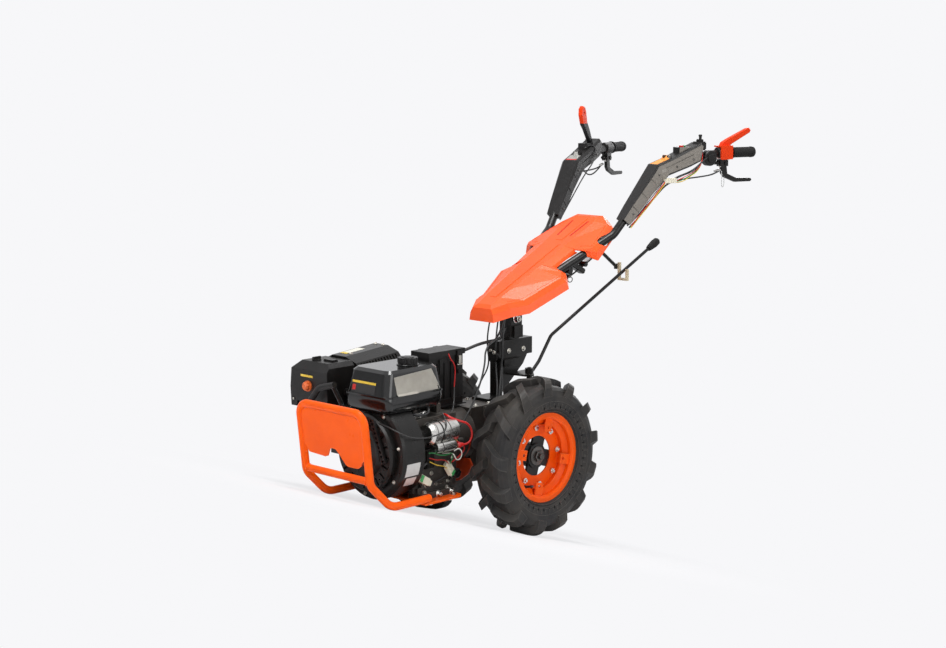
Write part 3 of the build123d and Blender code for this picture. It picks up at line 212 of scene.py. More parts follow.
# Materials of the added pieces
STEEL = MATERIALS["bright_steel"]
BODY_BLACK = MATERIALS["black_plastic"]
COVER_ORANGE = MATERIALS["cover_orange"]
RUBBER_BLACK = finish_of("cable_black", (0.012,) * 3, (0.02,) * 3, 0.45, 0.08, 60.0, 0.1, 900.0)
CABLE_RED = finish_of("cable_red", (0.55, 0.012, 0.01), (0.45, 0.01, 0.01), 0.4, 0.06, 60.0)
CABLE_GREEN = finish_of("cable_green", (0.02, 0.25, 0.06), (0.02, 0.2, 0.05), 0.42, 0.06, 60.0)
CABLE_PALE = finish_of("cable_pale", (0.72, 0.7, 0.64), (0.62, 0.6, 0.54), 0.4, 0.06, 60.0)
CABLE_YELLOW = finish_of("cable_yellow", (0.75, 0.5, 0.03), (0.7, 0.45, 0.03), 0.4, 0.06, 60.0)
CREAM = finish_of("cream_plastic", (0.78, 0.74, 0.6), (0.7, 0.66, 0.52), 0.45, 0.06, 60.0, 0.1, 800.0)
GREEN_PLASTIC = finish_of("green_plastic", (0.05, 0.35, 0.1), (0.04, 0.3, 0.08), 0.45, 0.06, 60.0, 0.1, 800.0)
DARK_STEEL = finish_of("dark_steel", (0.07, 0.066, 0.062), (0.13, 0.124, 0.118), 0.38, 0.1, 50.0, 0.3, 300.0,
                       metallic=0.9, wear=(0.5, 0.48, 0.45), wear_width=0.001)
ZINC = finish_of("zinc", (0.62, 0.6, 0.55), (0.45, 0.43, 0.38), 0.3, 0.08, 60.0, 0.1, 400.0, metallic=1.0)
BRASS = finish_of("brass", (0.55, 0.36, 0.12), (0.42, 0.27, 0.09), 0.35, 0.08, 60.0, 0.1, 400.0, metallic=1.0)
LABEL_GREY = finish_of("label_grey", (0.34, 0.335, 0.31), (0.4, 0.395, 0.37), 0.38, 0.05, 70.0, 0.08, 900.0,
                       metallic=0.3)
LABEL_SILVER = finish_of("label_silver", (0.62, 0.62, 0.6), (0.55, 0.55, 0.53), 0.35, 0.05, 50.0, 0.05, 900.0,
                         metallic=0.35)
LABEL_YELLOW = finish_of("label_yellow", (0.78, 0.55, 0.05), (0.72, 0.5, 0.04), 0.4, 0.05, 40.0)
LABEL_PALE = finish_of("label_pale", (0.78, 0.76, 0.66), (0.7, 0.68, 0.58), 0.4, 0.05, 40.0)
LABEL_ORANGE = finish_of("label_orange", (0.85, 0.32, 0.05), (0.8, 0.29, 0.04), 0.42, 0.05, 60.0)
LABEL_RED = finish_of("label_red", (0.6, 0.02, 0.015), (0.5, 0.02, 0.015), 0.4, 0.05, 40.0)
LABEL_BLACK = finish_of("label_black", (0.015,) * 3, (0.02,) * 3, 0.4, 0.05, 40.0)
CLEAR_TUBE = finish_of("clear_tube", (0.55, 0.56, 0.55), (0.45, 0.46, 0.45), 0.2, 0.05, 60.0)
# Dark red for the cover's slots: painted shade of the slot recesses, laid on as a thin plate
PAINTED_SLOT_SHADE = finish_of("painted_slot_shade", (0.5, 0.022, 0.002), (0.42, 0.018, 0.002), 0.4, 0.06, 20.0,
                         specular=0.2)
PANEL_GREY = finish_of("panel_grey", (0.25, 0.235, 0.2), (0.4, 0.375, 0.33), 0.3, 0.06, 9.0, 0.1, 500.0,
                       specular=0.4)
SHELL_GREY = finish_of("shell_grey", (0.2, 0.185, 0.165), (0.29, 0.27, 0.24), 0.42, 0.08, 16.0, 0.25, 500.0,
                       specular=0.4)
MARK_BLACK = finish_of("mark_black", (0.003,) * 3, (0.006,) * 3, 0.8, 0.05, 60.0, specular=0.1)


# Meshes drawn in the machine frame, in millimetres
at = Matrix.Translation


def added(name, data):
    thing = bpy.data.objects.new(name, data)
    bpy.context.scene.collection.objects.link(thing)
    return thing


def close(name, bm, material, body="chassis", sharp=35):
    """Ends a drawn mesh: parks it, shades it, and gives it its material and body."""
    bm.transform(PARK @ Matrix.Scale(MM, 4))
    bmesh.ops.recalc_face_normals(bm, faces=bm.faces)
    mesh = bpy.data.meshes.new(name)
    bm.to_mesh(mesh)
    bm.free()
    for face in mesh.polygons:
        face.use_smooth = True
    mesh.set_sharp_from_angle(angle=math.radians(sharp))
    mesh.materials.append(material)
    thing = added(name, mesh)
    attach(thing, body)


def frame_at(origin, axis):
    """A matrix that carries +Z to the axis and zero to the origin."""
    turn = Vector(UP).rotation_difference(Vector(axis)).to_matrix().to_4x4()
    return at(Vector(origin)) @ turn


def facing(origin, normal, up=UP):
    """A matrix whose Z is the normal, whose Y leans to up, and whose X follows."""
    z = Vector(normal).normalized()
    x = Vector(up).cross(z).normalized()
    y = z.cross(x)
    turn = Matrix((x, y, z)).transposed().to_4x4()
    return at(Vector(origin)) @ turn


def skin(bm, rows):
    """Faces between closed rows of points, and a flat face on either end."""
    count = len(rows[0])
    for low, high in zip(rows, rows[1:]):
        for k in range(count):
            j = (k + 1) % count
            bm.faces.new((low[k], low[j], high[j], high[k]))
    bm.faces.new(reversed(rows[0]))
    bm.faces.new(rows[-1])


def ring(bm, matrix, profile, sides=24):
    """A body turned about the matrix's Z from an outline of radii and heights."""
    rows = []
    for radius, z in profile:
        row = []
        for k in range(sides):
            a = 2 * math.pi * k / sides
            row.append(bm.verts.new(matrix @ Vector((radius * math.cos(a), radius * math.sin(a), z))))
        rows.append(row)
    skin(bm, rows)


def torus(bm, matrix, radius, thick, sides, round_=8, squash=1.0):
    """A round bead about the matrix's Z, squash times as high as it is wide."""
    rows = []
    for k in range(sides):
        a = 2 * math.pi * k / sides
        row = []
        for i in range(round_):
            b = 2 * math.pi * i / round_
            r = radius + thick * math.cos(b)
            z = thick * squash * math.sin(b)
            row.append(bm.verts.new(matrix @ Vector((r * math.cos(a), r * math.sin(a), z))))
        rows.append(row)
    for one, two in zip(rows, rows[1:] + rows[:1]):
        for i in range(round_):
            j = (i + 1) % round_
            bm.faces.new((one[i], two[i], two[j], one[j]))


def brick(bm, matrix, size, round_, steps=2):
    """A block of the given size about the matrix's zero, with rounded edges."""
    verts = bmesh.ops.create_cube(bm, size=1.0)["verts"]
    for vert in verts:
        vert.co = Vector((vert.co.x * size[0], vert.co.y * size[1], vert.co.z * size[2]))
    if round_:
        edges = list({edge for vert in verts for edge in vert.link_edges})
        out = bmesh.ops.bevel(bm, geom=edges, offset=round_, segments=steps, affect="EDGES",
                              clamp_overlap=True)
        verts = {vert for face in out["faces"] for vert in face.verts} | {v for v in verts if v.is_valid}
    for vert in verts:
        vert.co = matrix @ vert.co


def blocks(name, rows, material, body="chassis"):
    """A piece of rounded blocks, each from a row of matrix, size and rounding."""
    bm = bmesh.new()
    for matrix, size, round_ in rows:
        brick(bm, matrix, size, round_)
    close(name, bm, material, body)


def slab(bm, matrix, outline, thick):
    """A flat plate with a small chamfer, drawn in the matrix's XY and rising along its Z."""
    chamfer = 0.4
    mid = Vector((sum(x for x, _ in outline) / len(outline), sum(y for _, y in outline) / len(outline)))
    rows = []
    for inset, z in ((0.0, 0.0), (0.0, thick - chamfer), (chamfer, thick)):
        row = []
        for x, y in outline:
            away = Vector((x, y)) - mid
            p = mid + away * max(0.0, 1 - inset / max(away.length, 1e-6))
            row.append(bm.verts.new(matrix @ Vector((p.x, p.y, z))))
        rows.append(row)
    skin(bm, rows)


def rounded(width, height, corner):
    """The outline of a rectangle with round corners about zero."""
    steps = 4
    out = []
    for side_x, side_y, start in ((1, 1, 0), (-1, 1, 90), (-1, -1, 180), (1, -1, 270)):
        x = side_x * (width / 2 - corner)
        y = side_y * (height / 2 - corner)
        for k in range(steps + 1):
            a = math.radians(start + 90 * k / steps)
            out.append((x + corner * math.cos(a), y + corner * math.sin(a)))
    return out


def bolt(bm, place, axis, radius, height=None, washer=True, socket=False):
    """A hex or socket head with a chamfered crown, and its washer, standing on place along axis."""
    m = frame_at(place, axis)
    h = height or radius * 0.75
    z = 0.0
    if washer:
        z = 1.6
        ring(bm, m, [(radius * 1.45, 0), (radius * 1.45, 1.2), (radius * 1.35, z)])
    if socket:
        ring(bm, m, [(radius, z), (radius, z + h - 0.8), (radius - 0.8, z + h)], 20)
        ring(bm, m, [(radius * 0.5, z + h - 0.2), (radius * 0.5, z + h + 0.15)], 6)
        return
    ring(bm, m, [(radius, z), (radius, z + h - 1), (radius * 0.86, z + h)], 6)
    ring(bm, m, [(radius * 0.5, z + h - 0.2), (radius * 0.45, z + h + 0.5)], 12)


def bolts(name, axis, rows, material=ZINC):
    """Bolts on the chassis along one axis, each from a row of x, y, z and radius."""
    bm = bmesh.new()
    for x, y, z, radius in rows:
        bolt(bm, (x, y, z), axis, radius)
    close(name, bm, material)


def parked(point):
    return PARK @ (Vector(point) * MM)


def tube(name, points, radius, body="chassis", material=RUBBER_BLACK, blend=None, sides=3,
         steps=8):
    """A cable along a smooth spline; with blend given, it is baked in place and joined to no body, and the
    ends that blend lists are not used.
    """
    curve = bpy.data.curves.new(name, "CURVE")
    curve.dimensions = "3D"
    spline = curve.splines.new("NURBS")
    spline.points.add(len(points) - 1)
    for spot, point in zip(spline.points, points):
        spot.co = (*parked(point), 1)
    spline.order_u = 3
    spline.use_endpoint_u = True
    curve.resolution_u = steps
    curve.bevel_depth = radius * MM
    curve.bevel_resolution = sides
    curve.use_fill_caps = True
    holder = added(name + "_line", curve)
    bpy.context.view_layer.update()
    mesh = bpy.data.meshes.new_from_object(holder)
    bpy.data.objects.remove(holder)
    mesh.name = name
    mesh.materials.clear()
    mesh.materials.append(material)
    for face in mesh.polygons:
        face.use_smooth = True
    thing = added(name, mesh)
    if blend:
        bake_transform(thing)
    else:
        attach(thing, body)


def coil_spring(name, start, step, count, radius, wire, body):
    """A coil about X, six points a turn, that moves on by step from each point to the next."""
    coil = []
    for k in range(count):
        a = 2 * math.pi * k / 6
        x, y, z = (first + k * move for first, move in zip(start, step))
        coil.append((x, y + radius * math.cos(a), z + radius * math.sin(a)))
    tube(name, coil, wire, body, STEEL, sides=2, steps=2)


# Details cast onto the surface of a node
CAST_FROM = 150


def surface_of(node):
    """A search tree of one node's mesh in machine millimetres."""
    thing = NODES[node]
    into = PARK.inverted() @ thing.matrix_world
    points = [(into @ vert.co) * MM_IN_METRE for vert in thing.data.vertices]
    faces = [tuple(face.vertices) for face in thing.data.polygons]
    return BVHTree.FromPolygons(points, faces)


def lay_on(name, node, corners, way, rise, material, across=8, along=8):
    """A thin plate over four corners, cast onto a node's surface, lifted by rise and fixed to that node."""
    tree = surface_of(node)
    way = Vector(way).normalized()
    a, b, c, d = (Vector(corner) for corner in corners)
    bm = bmesh.new()
    tops = []
    feet = []
    for i in range(along + 1):
        for k in range(across + 1):
            p = a.lerp(b, k / across).lerp(d.lerp(c, k / across), i / along)
            hit = tree.ray_cast(p - way * CAST_FROM, way)[0]
            if hit is None:
                raise ValueError(name + " misses its node")
            tops.append(bm.verts.new(hit - way * rise))
            feet.append(bm.verts.new(hit + way * 0.2))
    step = across + 1
    for i in range(along):
        for k in range(across):
            n = i * step + k
            bm.faces.new((tops[n], tops[n + 1], tops[n + 1 + step], tops[n + step]))
            bm.faces.new((feet[n], feet[n + step], feet[n + 1 + step], feet[n + 1]))
    rim = list(range(step)) + [i * step + across for i in range(1, along + 1)]
    rim += [along * step + k for k in range(across - 1, -1, -1)] + [i * step for i in range(along - 1, 0, -1)]
    for one, two in zip(rim, rim[1:] + rim[:1]):
        bm.faces.new((tops[one], feet[one], feet[two], tops[two]))
    close(name, bm, material, BODIES[node], sharp=30)


def bolts_on(name, node, starts, way, radius, material=ZINC, washer=True, socket=False):
    """Bolt heads where lines from the starts along way meet a node, fixed to that node."""
    tree = surface_of(node)
    way = Vector(way).normalized()
    bm = bmesh.new()
    for start in starts:
        hit = tree.ray_cast(Vector(start), way)[0]
        if hit is None:
            raise ValueError(name + " misses its node")
        bolt(bm, hit, -way, radius, washer=washer, socket=socket)
    close(name, bm, material, BODIES[node])


# Places along a handlebar arm
SPLAY = math.radians(14.5)
ARM_X, ARM_Y = -640, 184


def outward(side):
    return Vector((math.sin(SPLAY), side * math.cos(SPLAY), 0))


def rearward(side):
    return Vector((-math.cos(SPLAY), side * math.sin(SPLAY), 0))


def arm(s, z, out=0.0, side=LEFT):
    """A point beside a handlebar arm: s to the rear, z up, out away from the machine."""
    x = ARM_X - s * math.cos(SPLAY) + out * math.sin(SPLAY)
    y = ARM_Y + s * math.sin(SPLAY) + out * math.cos(SPLAY)
    return (x, side * y, z)


def arm_points(rows, side=LEFT):
    return [arm(s, z, out, side) for s, z, out in rows]


def arm_frame(s, z, out, side=LEFT):
    """X to the rear, Y outward, Z up (left handed on the right arm), at a point beside an arm."""
    turn = Matrix((rearward(side), outward(side), Vector(UP))).transposed().to_4x4()
    return at(Vector(arm(s, z, out, side))) @ turn


# Where the CAD pieces change colour along their own shape
def machine_axes(tree):
    """Machine coordinates in a shader, in millimetres."""
    place = tree.nodes.new("ShaderNodeTexCoord")
    mapping = tree.nodes.new("ShaderNodeMapping")
    mapping.inputs["Scale"].default_value = (MM_IN_METRE,) * 3
    mapping.inputs["Rotation"].default_value = (0, -nose_down, 0)
    mapping.inputs["Location"].default_value = tuple(PARK.inverted().translation * MM_IN_METRE)
    tree.links.new(place.outputs["Object"], mapping.inputs["Vector"])
    split = tree.nodes.new("ShaderNodeSeparateXYZ")
    tree.links.new(mapping.outputs["Vector"], split.inputs["Vector"])
    return split.outputs["X"], split.outputs["Y"], split.outputs["Z"]


def within(tree, value, low, high):
    above = math_node(tree, "GREATER_THAN", value, low)
    below = math_node(tree, "LESS_THAN", value, high)
    return math_node(tree, "MULTIPLY", above, below)


def two_tone(base, other_color, mask_of, roughness=None, metallic=None):
    """A copy of a material that takes another colour where mask_of gives 1."""
    made = base.copy()
    tree = made.node_tree
    mask = mask_of(tree)
    for name, value, kind in (
        ("Base Color", (*other_color, 1), "RGBA"),
        ("Roughness", roughness, "FLOAT"),
        ("Metallic", metallic, "FLOAT"),
    ):
        if value is None:
            continue
        target = tree.nodes["Principled BSDF"].inputs[name]
        first = target.links[0].from_socket if target.links else target.default_value
        tree.links.new(mixed(tree, mask, first, value, kind), target)
    return made


def nuts_mask(tree):
    """The hub's nuts: beyond its face, on the bolt circle."""
    x, y, z = machine_axes(tree)
    away = math_node(tree, "ABSOLUTE", y)
    squared = math_node(tree, "ADD", math_node(tree, "MULTIPLY", x, x), math_node(tree, "MULTIPLY", z, z))
    radius = math_node(tree, "SQRT", squared)
    return math_node(tree, "MULTIPLY", within(tree, away, 238.1, 260), within(tree, radius, 70, 120))


def shaded_flange_mask(tree):
    """The flange between the clutch housing and the gearbox: orange paint, darkened by painted shade."""
    x, _, z = machine_axes(tree)
    return math_node(tree, "MULTIPLY", within(tree, x, 141.5, 148.5), within(tree, z, -110, 60))


def tip_mask(tree):
    """The throttle lever below its orange end."""
    return math_node(tree, "LESS_THAN", machine_axes(tree)[2], 1018)


def seam_mask(tree):
    """A dark band round the starter motor."""
    return within(tree, machine_axes(tree)[0], 330, 333.5)


def painted_sheen_faces(tree):
    """1 on the faces that look away from the machine on its left, which take a painted reflection: grey
    painted on the black plastic.
    """
    place = tree.nodes.new("ShaderNodeTexCoord")
    left = (PARK.to_3x3() @ outward(LEFT)).normalized()
    return math_node(tree, "GREATER_THAN", dot_product(tree, place.outputs["Normal"], left), 0.9)


HUB_TWO = two_tone(MATERIALS["hub_black"], (0.72, 0.7, 0.67), nuts_mask, 0.22, 1.0)
for node, material in (
    ("hub_left", HUB_TWO),
    ("hub_right", HUB_TWO),
    # The flange's dark orange is its orange paint with painted shade
    ("clutch_housing", two_tone(MATERIALS["cast_grey"], (0.45, 0.045, 0.006), shaded_flange_mask, 0.4, 0.0)),
    ("throttle_lever", two_tone(MATERIALS["lever_orange"], (0.014, 0.014, 0.015), tip_mask, 0.38)),
    ("starter_motor", two_tone(STEEL, (0.04, 0.04, 0.04), seam_mask, 0.5)),
    # The left shell's grey outward faces are a painted reflection on its black plastic
    ("arm_shell_left", two_tone(BODY_BLACK, (0.23, 0.21, 0.185), painted_sheen_faces, 0.42)),
):
    NODES[node].data.materials[0] = material

# Wheels: beads and short ribs on the tyre, the valve, the axle nut and the ends of the hub's studs
TRACK = 234.0
for side, hand in HAND.items():
    body = "wheel_" + hand
    out = (0, side, 0)
    bm = bmesh.new()
    for radius, y, thick in ((149.5, 53.5, 2.2), (161, 58.6, 1.2), (181.5, 62.6, 1.1)):
        torus(bm, frame_at((0, side * (TRACK + y), 0), out), radius, thick, 96, squash=0.8)
    ribs = 56
    lean = at((0, side * (TRACK + 60.7), 171)) @ Matrix.Rotation(side * -0.16, 4, "X")
    for k in range(ribs):
        spin = Matrix.Rotation(2 * math.pi * k / ribs, 4, "Y")
        brick(bm, spin @ lean, (6, 1.8, 10 if k % 7 else 15), 0.6, 1)
    close("tyre_ribs_" + hand, bm, MATERIALS["tyre_rubber"], body)
    bm = bmesh.new()
    valve = frame_at((0, side * (TRACK + 18), 113), (0, side, -0.25))
    valve = Matrix.Rotation(math.radians(140), 4, "Y") @ valve
    ring(bm, valve, [(6.5, -3), (6, 4), (4, 8), (3.8, 24)], 16)
    ring(bm, valve, [(4.4, 24), (4.4, 32), (3, 34)], 12)
    close("valve_" + hand, bm, RUBBER_BLACK, body)
    bm = bmesh.new()
    for y, profile, sides in (
        (6, [(30, 0), (30, 3), (27, 4)], 32),
        (10, [(19, 0), (19, 9), (17, 10.5)], 6),
        (20, [(10, 0), (10, 9), (8.5, 10.5)], 20),
    ):
        ring(bm, frame_at((0, side * (TRACK + y), 0), out), profile, sides)
    close("axle_nut_" + hand, bm, DARK_STEEL, body)
    bm = bmesh.new()
    studs, stud_circle = 8, 92
    for k in range(studs):
        a = 2 * math.pi * k / studs + math.radians(22) - nose_down
        spot = (stud_circle * math.sin(a), side * (TRACK + 12), stud_circle * math.cos(a))
        ring(bm, frame_at(spot, out), [(5.0, 3.9), (5.0, 4.4), (4.2, 5.6)], 12)
    close("stud_ends_" + hand, bm, STEEL, body)

# Bumper, base plate and engine feet
bm = bmesh.new()
for side in (RIGHT, LEFT):
    torus(bm, frame_at((629, side * 131.5, 8), LEFTWARD), 11.6, 2.0, 28)
    for z in (60, 150):
        x = 631 + (z + 4) * 25 / 218
        torus(bm, frame_at((x, side * 131, z), (0.11, 0, 1)), 1.6, 1.2, 12, 6)
close("bumper_welds", bm, MATERIALS["frame_orange"], "chassis")
bolts("bumper_bolts", DOWN, [(x, y, -103, 7) for x in (285, 372) for y in (-136, 136)])
bolts("foot_bolts", UP, [(x, y, -77, 7) for y in (108, -112) for x in (270, 372)])
bolts("plate_bolts", UP, [(262, y, -97, 6) for y in (-128, 128)])

# Engine, left side
bolts("side_cover_bolts", LEFTWARD, [(x, 101, z, 5) for x, z in (
    (241, -47), (262, -59), (315, -59), (360, -59), (384, -34), (241, 12), (241, 62), (333, -22), (333, 40),
)])
bm = bmesh.new()
bolt(bm, (318, 118, -87), LEFTWARD, 8.5, 9)
bolt(bm, (262, 118, -87), LEFTWARD, 6.5, 7)
close("drain_bolts", bm, STEEL)
bm = bmesh.new()
ring(bm, frame_at((241, 114, -35), LEFTWARD), [(15, 0), (16, 3), (16, 9), (13, 12)], 28)
brick(bm, at((241, 128, -35)) @ Matrix.Rotation(0.5, 4, "Y"), (24, 8, 5), 1.4)
close("oil_filler", bm, BODY_BLACK, "chassis")

# Starter motor: rear bolts, bands, terminals and its wires
STARTER_Y, STARTER_Z = 122, 110
bolts("starter_bolts", BACK, [
    (258, STARTER_Y + 25 * math.cos(a), STARTER_Z + 25 * math.sin(a), 4.2) for a in (0.6, 0.6 + math.pi)
])
bm = bmesh.new()
torus(bm, frame_at((300, STARTER_Y, STARTER_Z), FORWARD), 35.9, 1.1, 64, squash=2.2)
torus(bm, frame_at((356, STARTER_Y, STARTER_Z), FORWARD), 35.9, 0.9, 64, squash=2.0)
brick(bm, at((318, STARTER_Y, STARTER_Z + 37)), (26, 12, 4), 1.2)
close("starter_bands", bm, DARK_STEEL)
bm = bmesh.new()
for y, z in ((132, 72), (144, 60)):
    ring(bm, frame_at((262, y, z), BACK), [(6, 0), (6, 4.5), (5, 5)], 6)
    ring(bm, frame_at((257, y, z), BACK), [(3.2, 0), (3.2, 6)], 12)
close("terminal_nuts", bm, BRASS)
bm = bmesh.new()
ring(bm, frame_at((258, 144, 60), (-1, 0.25, 0.1)), [(7.5, -3), (8.5, 3), (7, 12), (5, 18)], 18)
close("terminal_boot", bm, CABLE_RED)
for name, radius, material, points in (
    ("starter_cable", 3.4, CABLE_RED, [
        (246, 148, 61), (226, 153, 60), (207, 153, 74), (202, 150, 100), (220, 148, 126), (252, 142, 136),
        (282, 128, 151), (276, 104, 156), (262, 84, 150)]),
    ("ground_wire", 2.2, CABLE_RED, [
        (262, 132, 72), (240, 142, 66), (228, 146, 46), (240, 134, 24), (252, 118, 6), (258, 104, -4)]),
    ("pale_loop", 1.6, CABLE_PALE, [
        (282, 150, 47), (270, 154, 56), (254, 154, 46), (250, 153, 30), (260, 150, 14), (274, 148, 20),
        (278, 146, 36), (286, 136, 40), (296, 112, 36)]),
    ("green_wire", 1.5, CABLE_GREEN, [
        (374, 132, 52), (362, 142, 54), (345, 146, 43), (310, 146, 38), (284, 144, 42), (272, 136, 28),
        (278, 128, 2)]),
    ("yellow_wire", 1.4, CABLE_YELLOW, [
        (368, 130, 24), (350, 138, 12), (326, 136, 6), (302, 130, -2), (290, 126, -10)]),
    ("red_wire", 1.4, CABLE_RED, [
        (370, 130, 36), (352, 140, 28), (330, 140, 26), (300, 136, 18), (286, 128, 4)]),
):
    tube(name, points, radius, material=material)

# Wiring plugs by the voltage regulator
m = facing((270, 118, -18), (-0.2, 1, 0.2), (0.6, 0, 1))
blocks("wire_plug", [
    (m, (26, 34, 16), 1.6),
    (m @ at((0, 22, 0)), (20, 12, 12), 1.2),
    (m @ at((0, 4, 9)), (14, 20, 3), 0.8),
], CREAM)
blocks("wire_plug_seal", [(m @ at((0, -14, 1)), (22, 10, 17), 1.4)], GREEN_PLASTIC)
m = facing((377, 112, -34), (0.1, 1, 0.1), (0.8, 0, 0.5))
blocks("lower_plug", [
    (m, (24, 40, 15), 1.6),
    (m @ at((0, -24, 0)), (18, 12, 11), 1.2),
], CREAM)
blocks("lower_plug_seal", [(m @ at((0, 12, 1)), (22, 12, 16), 1.2)], GREEN_PLASTIC)
tube("plug_wires", [(384, 112, -14), (390, 118, -2), (388, 122, 14), (374, 124, 20)], 3.2)
tube("lower_wires", [
    (366, 112, -54), (352, 112, -60), (330, 112, -50), (300, 112, -44), (284, 114, -38),
], 3.0)

# Carburettor side: governor plates, spring and rod, and two hoses
bm = bmesh.new()
slab(bm, facing((404, 62, 150), LEFTWARD), [(-34, -12), (30, -12), (34, 6), (12, 14), (-30, 12)], 3)
slab(bm, facing((418, 68, 140), LEFTWARD, (0.3, 0, 1)), rounded(12, 56, 5), 3)
slab(bm, facing((372, 72, 152), LEFTWARD, (0.9, 0, 0.2)), rounded(11, 60, 5), 2.5)
close("governor_plates", bm, ZINC)
bolts("governor_bolts", LEFTWARD, [
    (424, 71, 126, 7), (412, 65, 152, 5), (384, 66, 148, 7), (352, 74, 150, 4), (322, 60, 157, 6),
    (448, 66, 137, 6),
], STEEL)
coil_spring("governor_spring", (352, 78, 166), (1.1, 0, 0), 61, 4, 0.8, "chassis")
tube("governor_rod", [
    (350, 76, 152), (380, 80, 158), (418, 76, 166), (440, 60, 168),
], 1.5, material=STEEL)
tube("fuel_hose", [
    (330, 84, 181), (332, 92, 172), (352, 98, 164), (380, 96, 166), (398, 84, 170), (402, 60, 166),
], 4.2)
tube("breather_hose", [
    (404, 118, 118), (418, 124, 112), (424, 124, 92), (414, 122, 66), (398, 118, 46), (380, 110, 20),
], 4.5)

# Stop cable from the front, along the engine's left side to the starter
tube("stop_cable", [
    (520, 66, 158), (516, 100, 152), (508, 138, 138), (480, 155, 122), (440, 157, 112), (400, 158, 108),
    (356, 160, 112), (330, 160, 118), (312, 150, 140), (304, 120, 166),
], 2.0)

# Shroud: rim screws and two blank labels
CRANK_Z = 57
SHROUD_R = 151.1
LABEL_R = SHROUD_R + 0.5
bm = bmesh.new()
for degrees in (12, 60, 120, 168, 215, 262, 325):
    a = math.radians(degrees)
    bolt(bm, (500, 134 * math.cos(a), CRANK_Z + 134 * math.sin(a)), FORWARD, 4.2)
close("shroud_screws", bm, ZINC)


for name, x0, x1, low, high in (
    ("shroud_label_upper", 426, 482, -24, -8),
    ("shroud_label_lower", 430, 472, -38, -26.5),
):
    bm = bmesh.new()
    rows = []
    for k in range(9):
        a = math.radians(low + (high - low) * k / 8)
        row = []
        for x, r in ((x0, SHROUD_R), (x0, LABEL_R), (x1, LABEL_R), (x1, SHROUD_R)):
            row.append(bm.verts.new((x, r * math.cos(a), CRANK_Z + r * math.sin(a))))
        rows.append(row)
    skin(bm, rows)
    close(name, bm, LABEL_SILVER)

# Recoil cover: screws and hub plate
bm = bmesh.new()
for degrees in (45, 135, 225, 315):
    a = math.radians(degrees)
    bolt(bm, (522, 111.72 * math.cos(a), CRANK_Z + 111.72 * math.sin(a)), FORWARD, 3.6, socket=True)
ring(bm, frame_at((536, 0, CRANK_Z), FORWARD), [(44, 0), (44, 1.2), (42, 2)], 48)
ring(bm, frame_at((538, 0, CRANK_Z), FORWARD), [(8, 0), (8, 3), (7, 4)], 6)
close("recoil_details", bm, MATERIALS["black_paint"], "chassis")


# Cover: painted shade as dark thin plates where its slots are, beads along the wings, raised centre and tail
# panels
def on_cover(name, outline, rise, material=COVER_ORANGE, along=8):
    lay_on(name, "cover", [(x, y, 660) for x, y in outline], DOWN, rise, material, 8, along)


for side, hand in HAND.items():
    # Each slot is a thin dark plate of painted shade, not a cut
    slot_shade_outline = [(x, side * y) for x, y in ((-397, 24), (-397, 31), (-484, 38), (-484, 31))]
    on_cover("cover_slot_shade_" + hand, slot_shade_outline, 0.3, PAINTED_SLOT_SHADE)
    for k, bead in enumerate((
        ((-52, 66), (-104, 86), (-104, 81), (-52, 61)),
        ((-104, 86), (-226, 126), (-226, 121), (-104, 81)),
        ((-365, 100), (-384, 134), (-388, 129), (-369, 95)),
        ((-388, 134), (-500, 97), (-498, 92), (-386, 129)),
    )):
        on_cover(f"cover_bead_{hand}_{k}", [(x, side * y) for x, y in bead], 1.1)
on_cover("cover_centre", [(-50, 13), (-50, -13), (-350, -24), (-350, 24)], 1.6, along=20)
on_cover("cover_tail_panel", [(-372, 13), (-372, -13), (-500, -20), (-500, 20)], 1.2, along=12)

# Tank, cleaner and guard: panels, blank labels and stripes, screws, clips and the ribs of the fuel cap
for side, hand in HAND.items():
    y = 2 + side * 160
    lay_on("tank_panel_" + hand, "fuel_tank", [(286, y, 238), (470, y, 236), (477, y, 294), (318, y, 303)],
           (0, -side, 0), 0.5, PANEL_GREY, 16, 10)
for name, node, y0, y1, z0, z1, rise, material, cells in (
    ("tank_stripe", "fuel_tank", -62, 42, 268, 275, 0.5, LABEL_YELLOW, 8),
    ("tank_label", "fuel_tank", -62, 42, 240, 267, 0.4, LABEL_BLACK, 8),
    ("tank_mark", "fuel_tank", -58, -44, 246, 262, 0.7, LABEL_RED, 3),
    ("cleaner_stripe", "air_cleaner", -291, -234, 258, 265, 0.5, LABEL_YELLOW, 8),
):
    lay_on(name, node, [(600, y0, z0), (600, y1, z0), (600, y1, z1), (600, y0, z1)], BACK, rise, material,
           cells, cells)
for name, x, rise, material in (
    ("guard_label", 296, 0.5, LABEL_PALE),
    ("guard_label_stripe", 362, 0.7, LABEL_YELLOW),
):
    lay_on(name, "muffler_guard", [(375, -318, 400), (375, -238, 400), (x, -238, 400), (x, -318, 400)], DOWN,
           rise, material)
bolts_on("guard_bolts", "muffler_guard", [(228, -262, 420), (368, -226, 420), (228, -226, 420)], DOWN, 4.5)
bolts_on("cleaner_screws", "air_cleaner", [(600, -326, 182), (600, -182, 182)], BACK, 4, washer=False)
blocks("cleaner_clips", [
    (at((462, -215, 309)), (26, 44, 8), 2.5),
    (at((441, -158, 214)), (30, 16, 20), 3),
], BODY_BLACK)
CAP_X, CAP_Y = 361, 28
bm = bmesh.new()
for k in range(12):
    turn = Matrix.Rotation(2 * math.pi * k / 12, 4, "Z")
    brick(bm, at((CAP_X, CAP_Y, 323)) @ turn @ at((21, 0, 0)), (9, 3, 2), 0.6)
torus(bm, at((CAP_X, CAP_Y, 315)), 33, 2.2, 48, squash=0.8)
close("cap_ribs", bm, MATERIALS["tank_black"], "chassis")

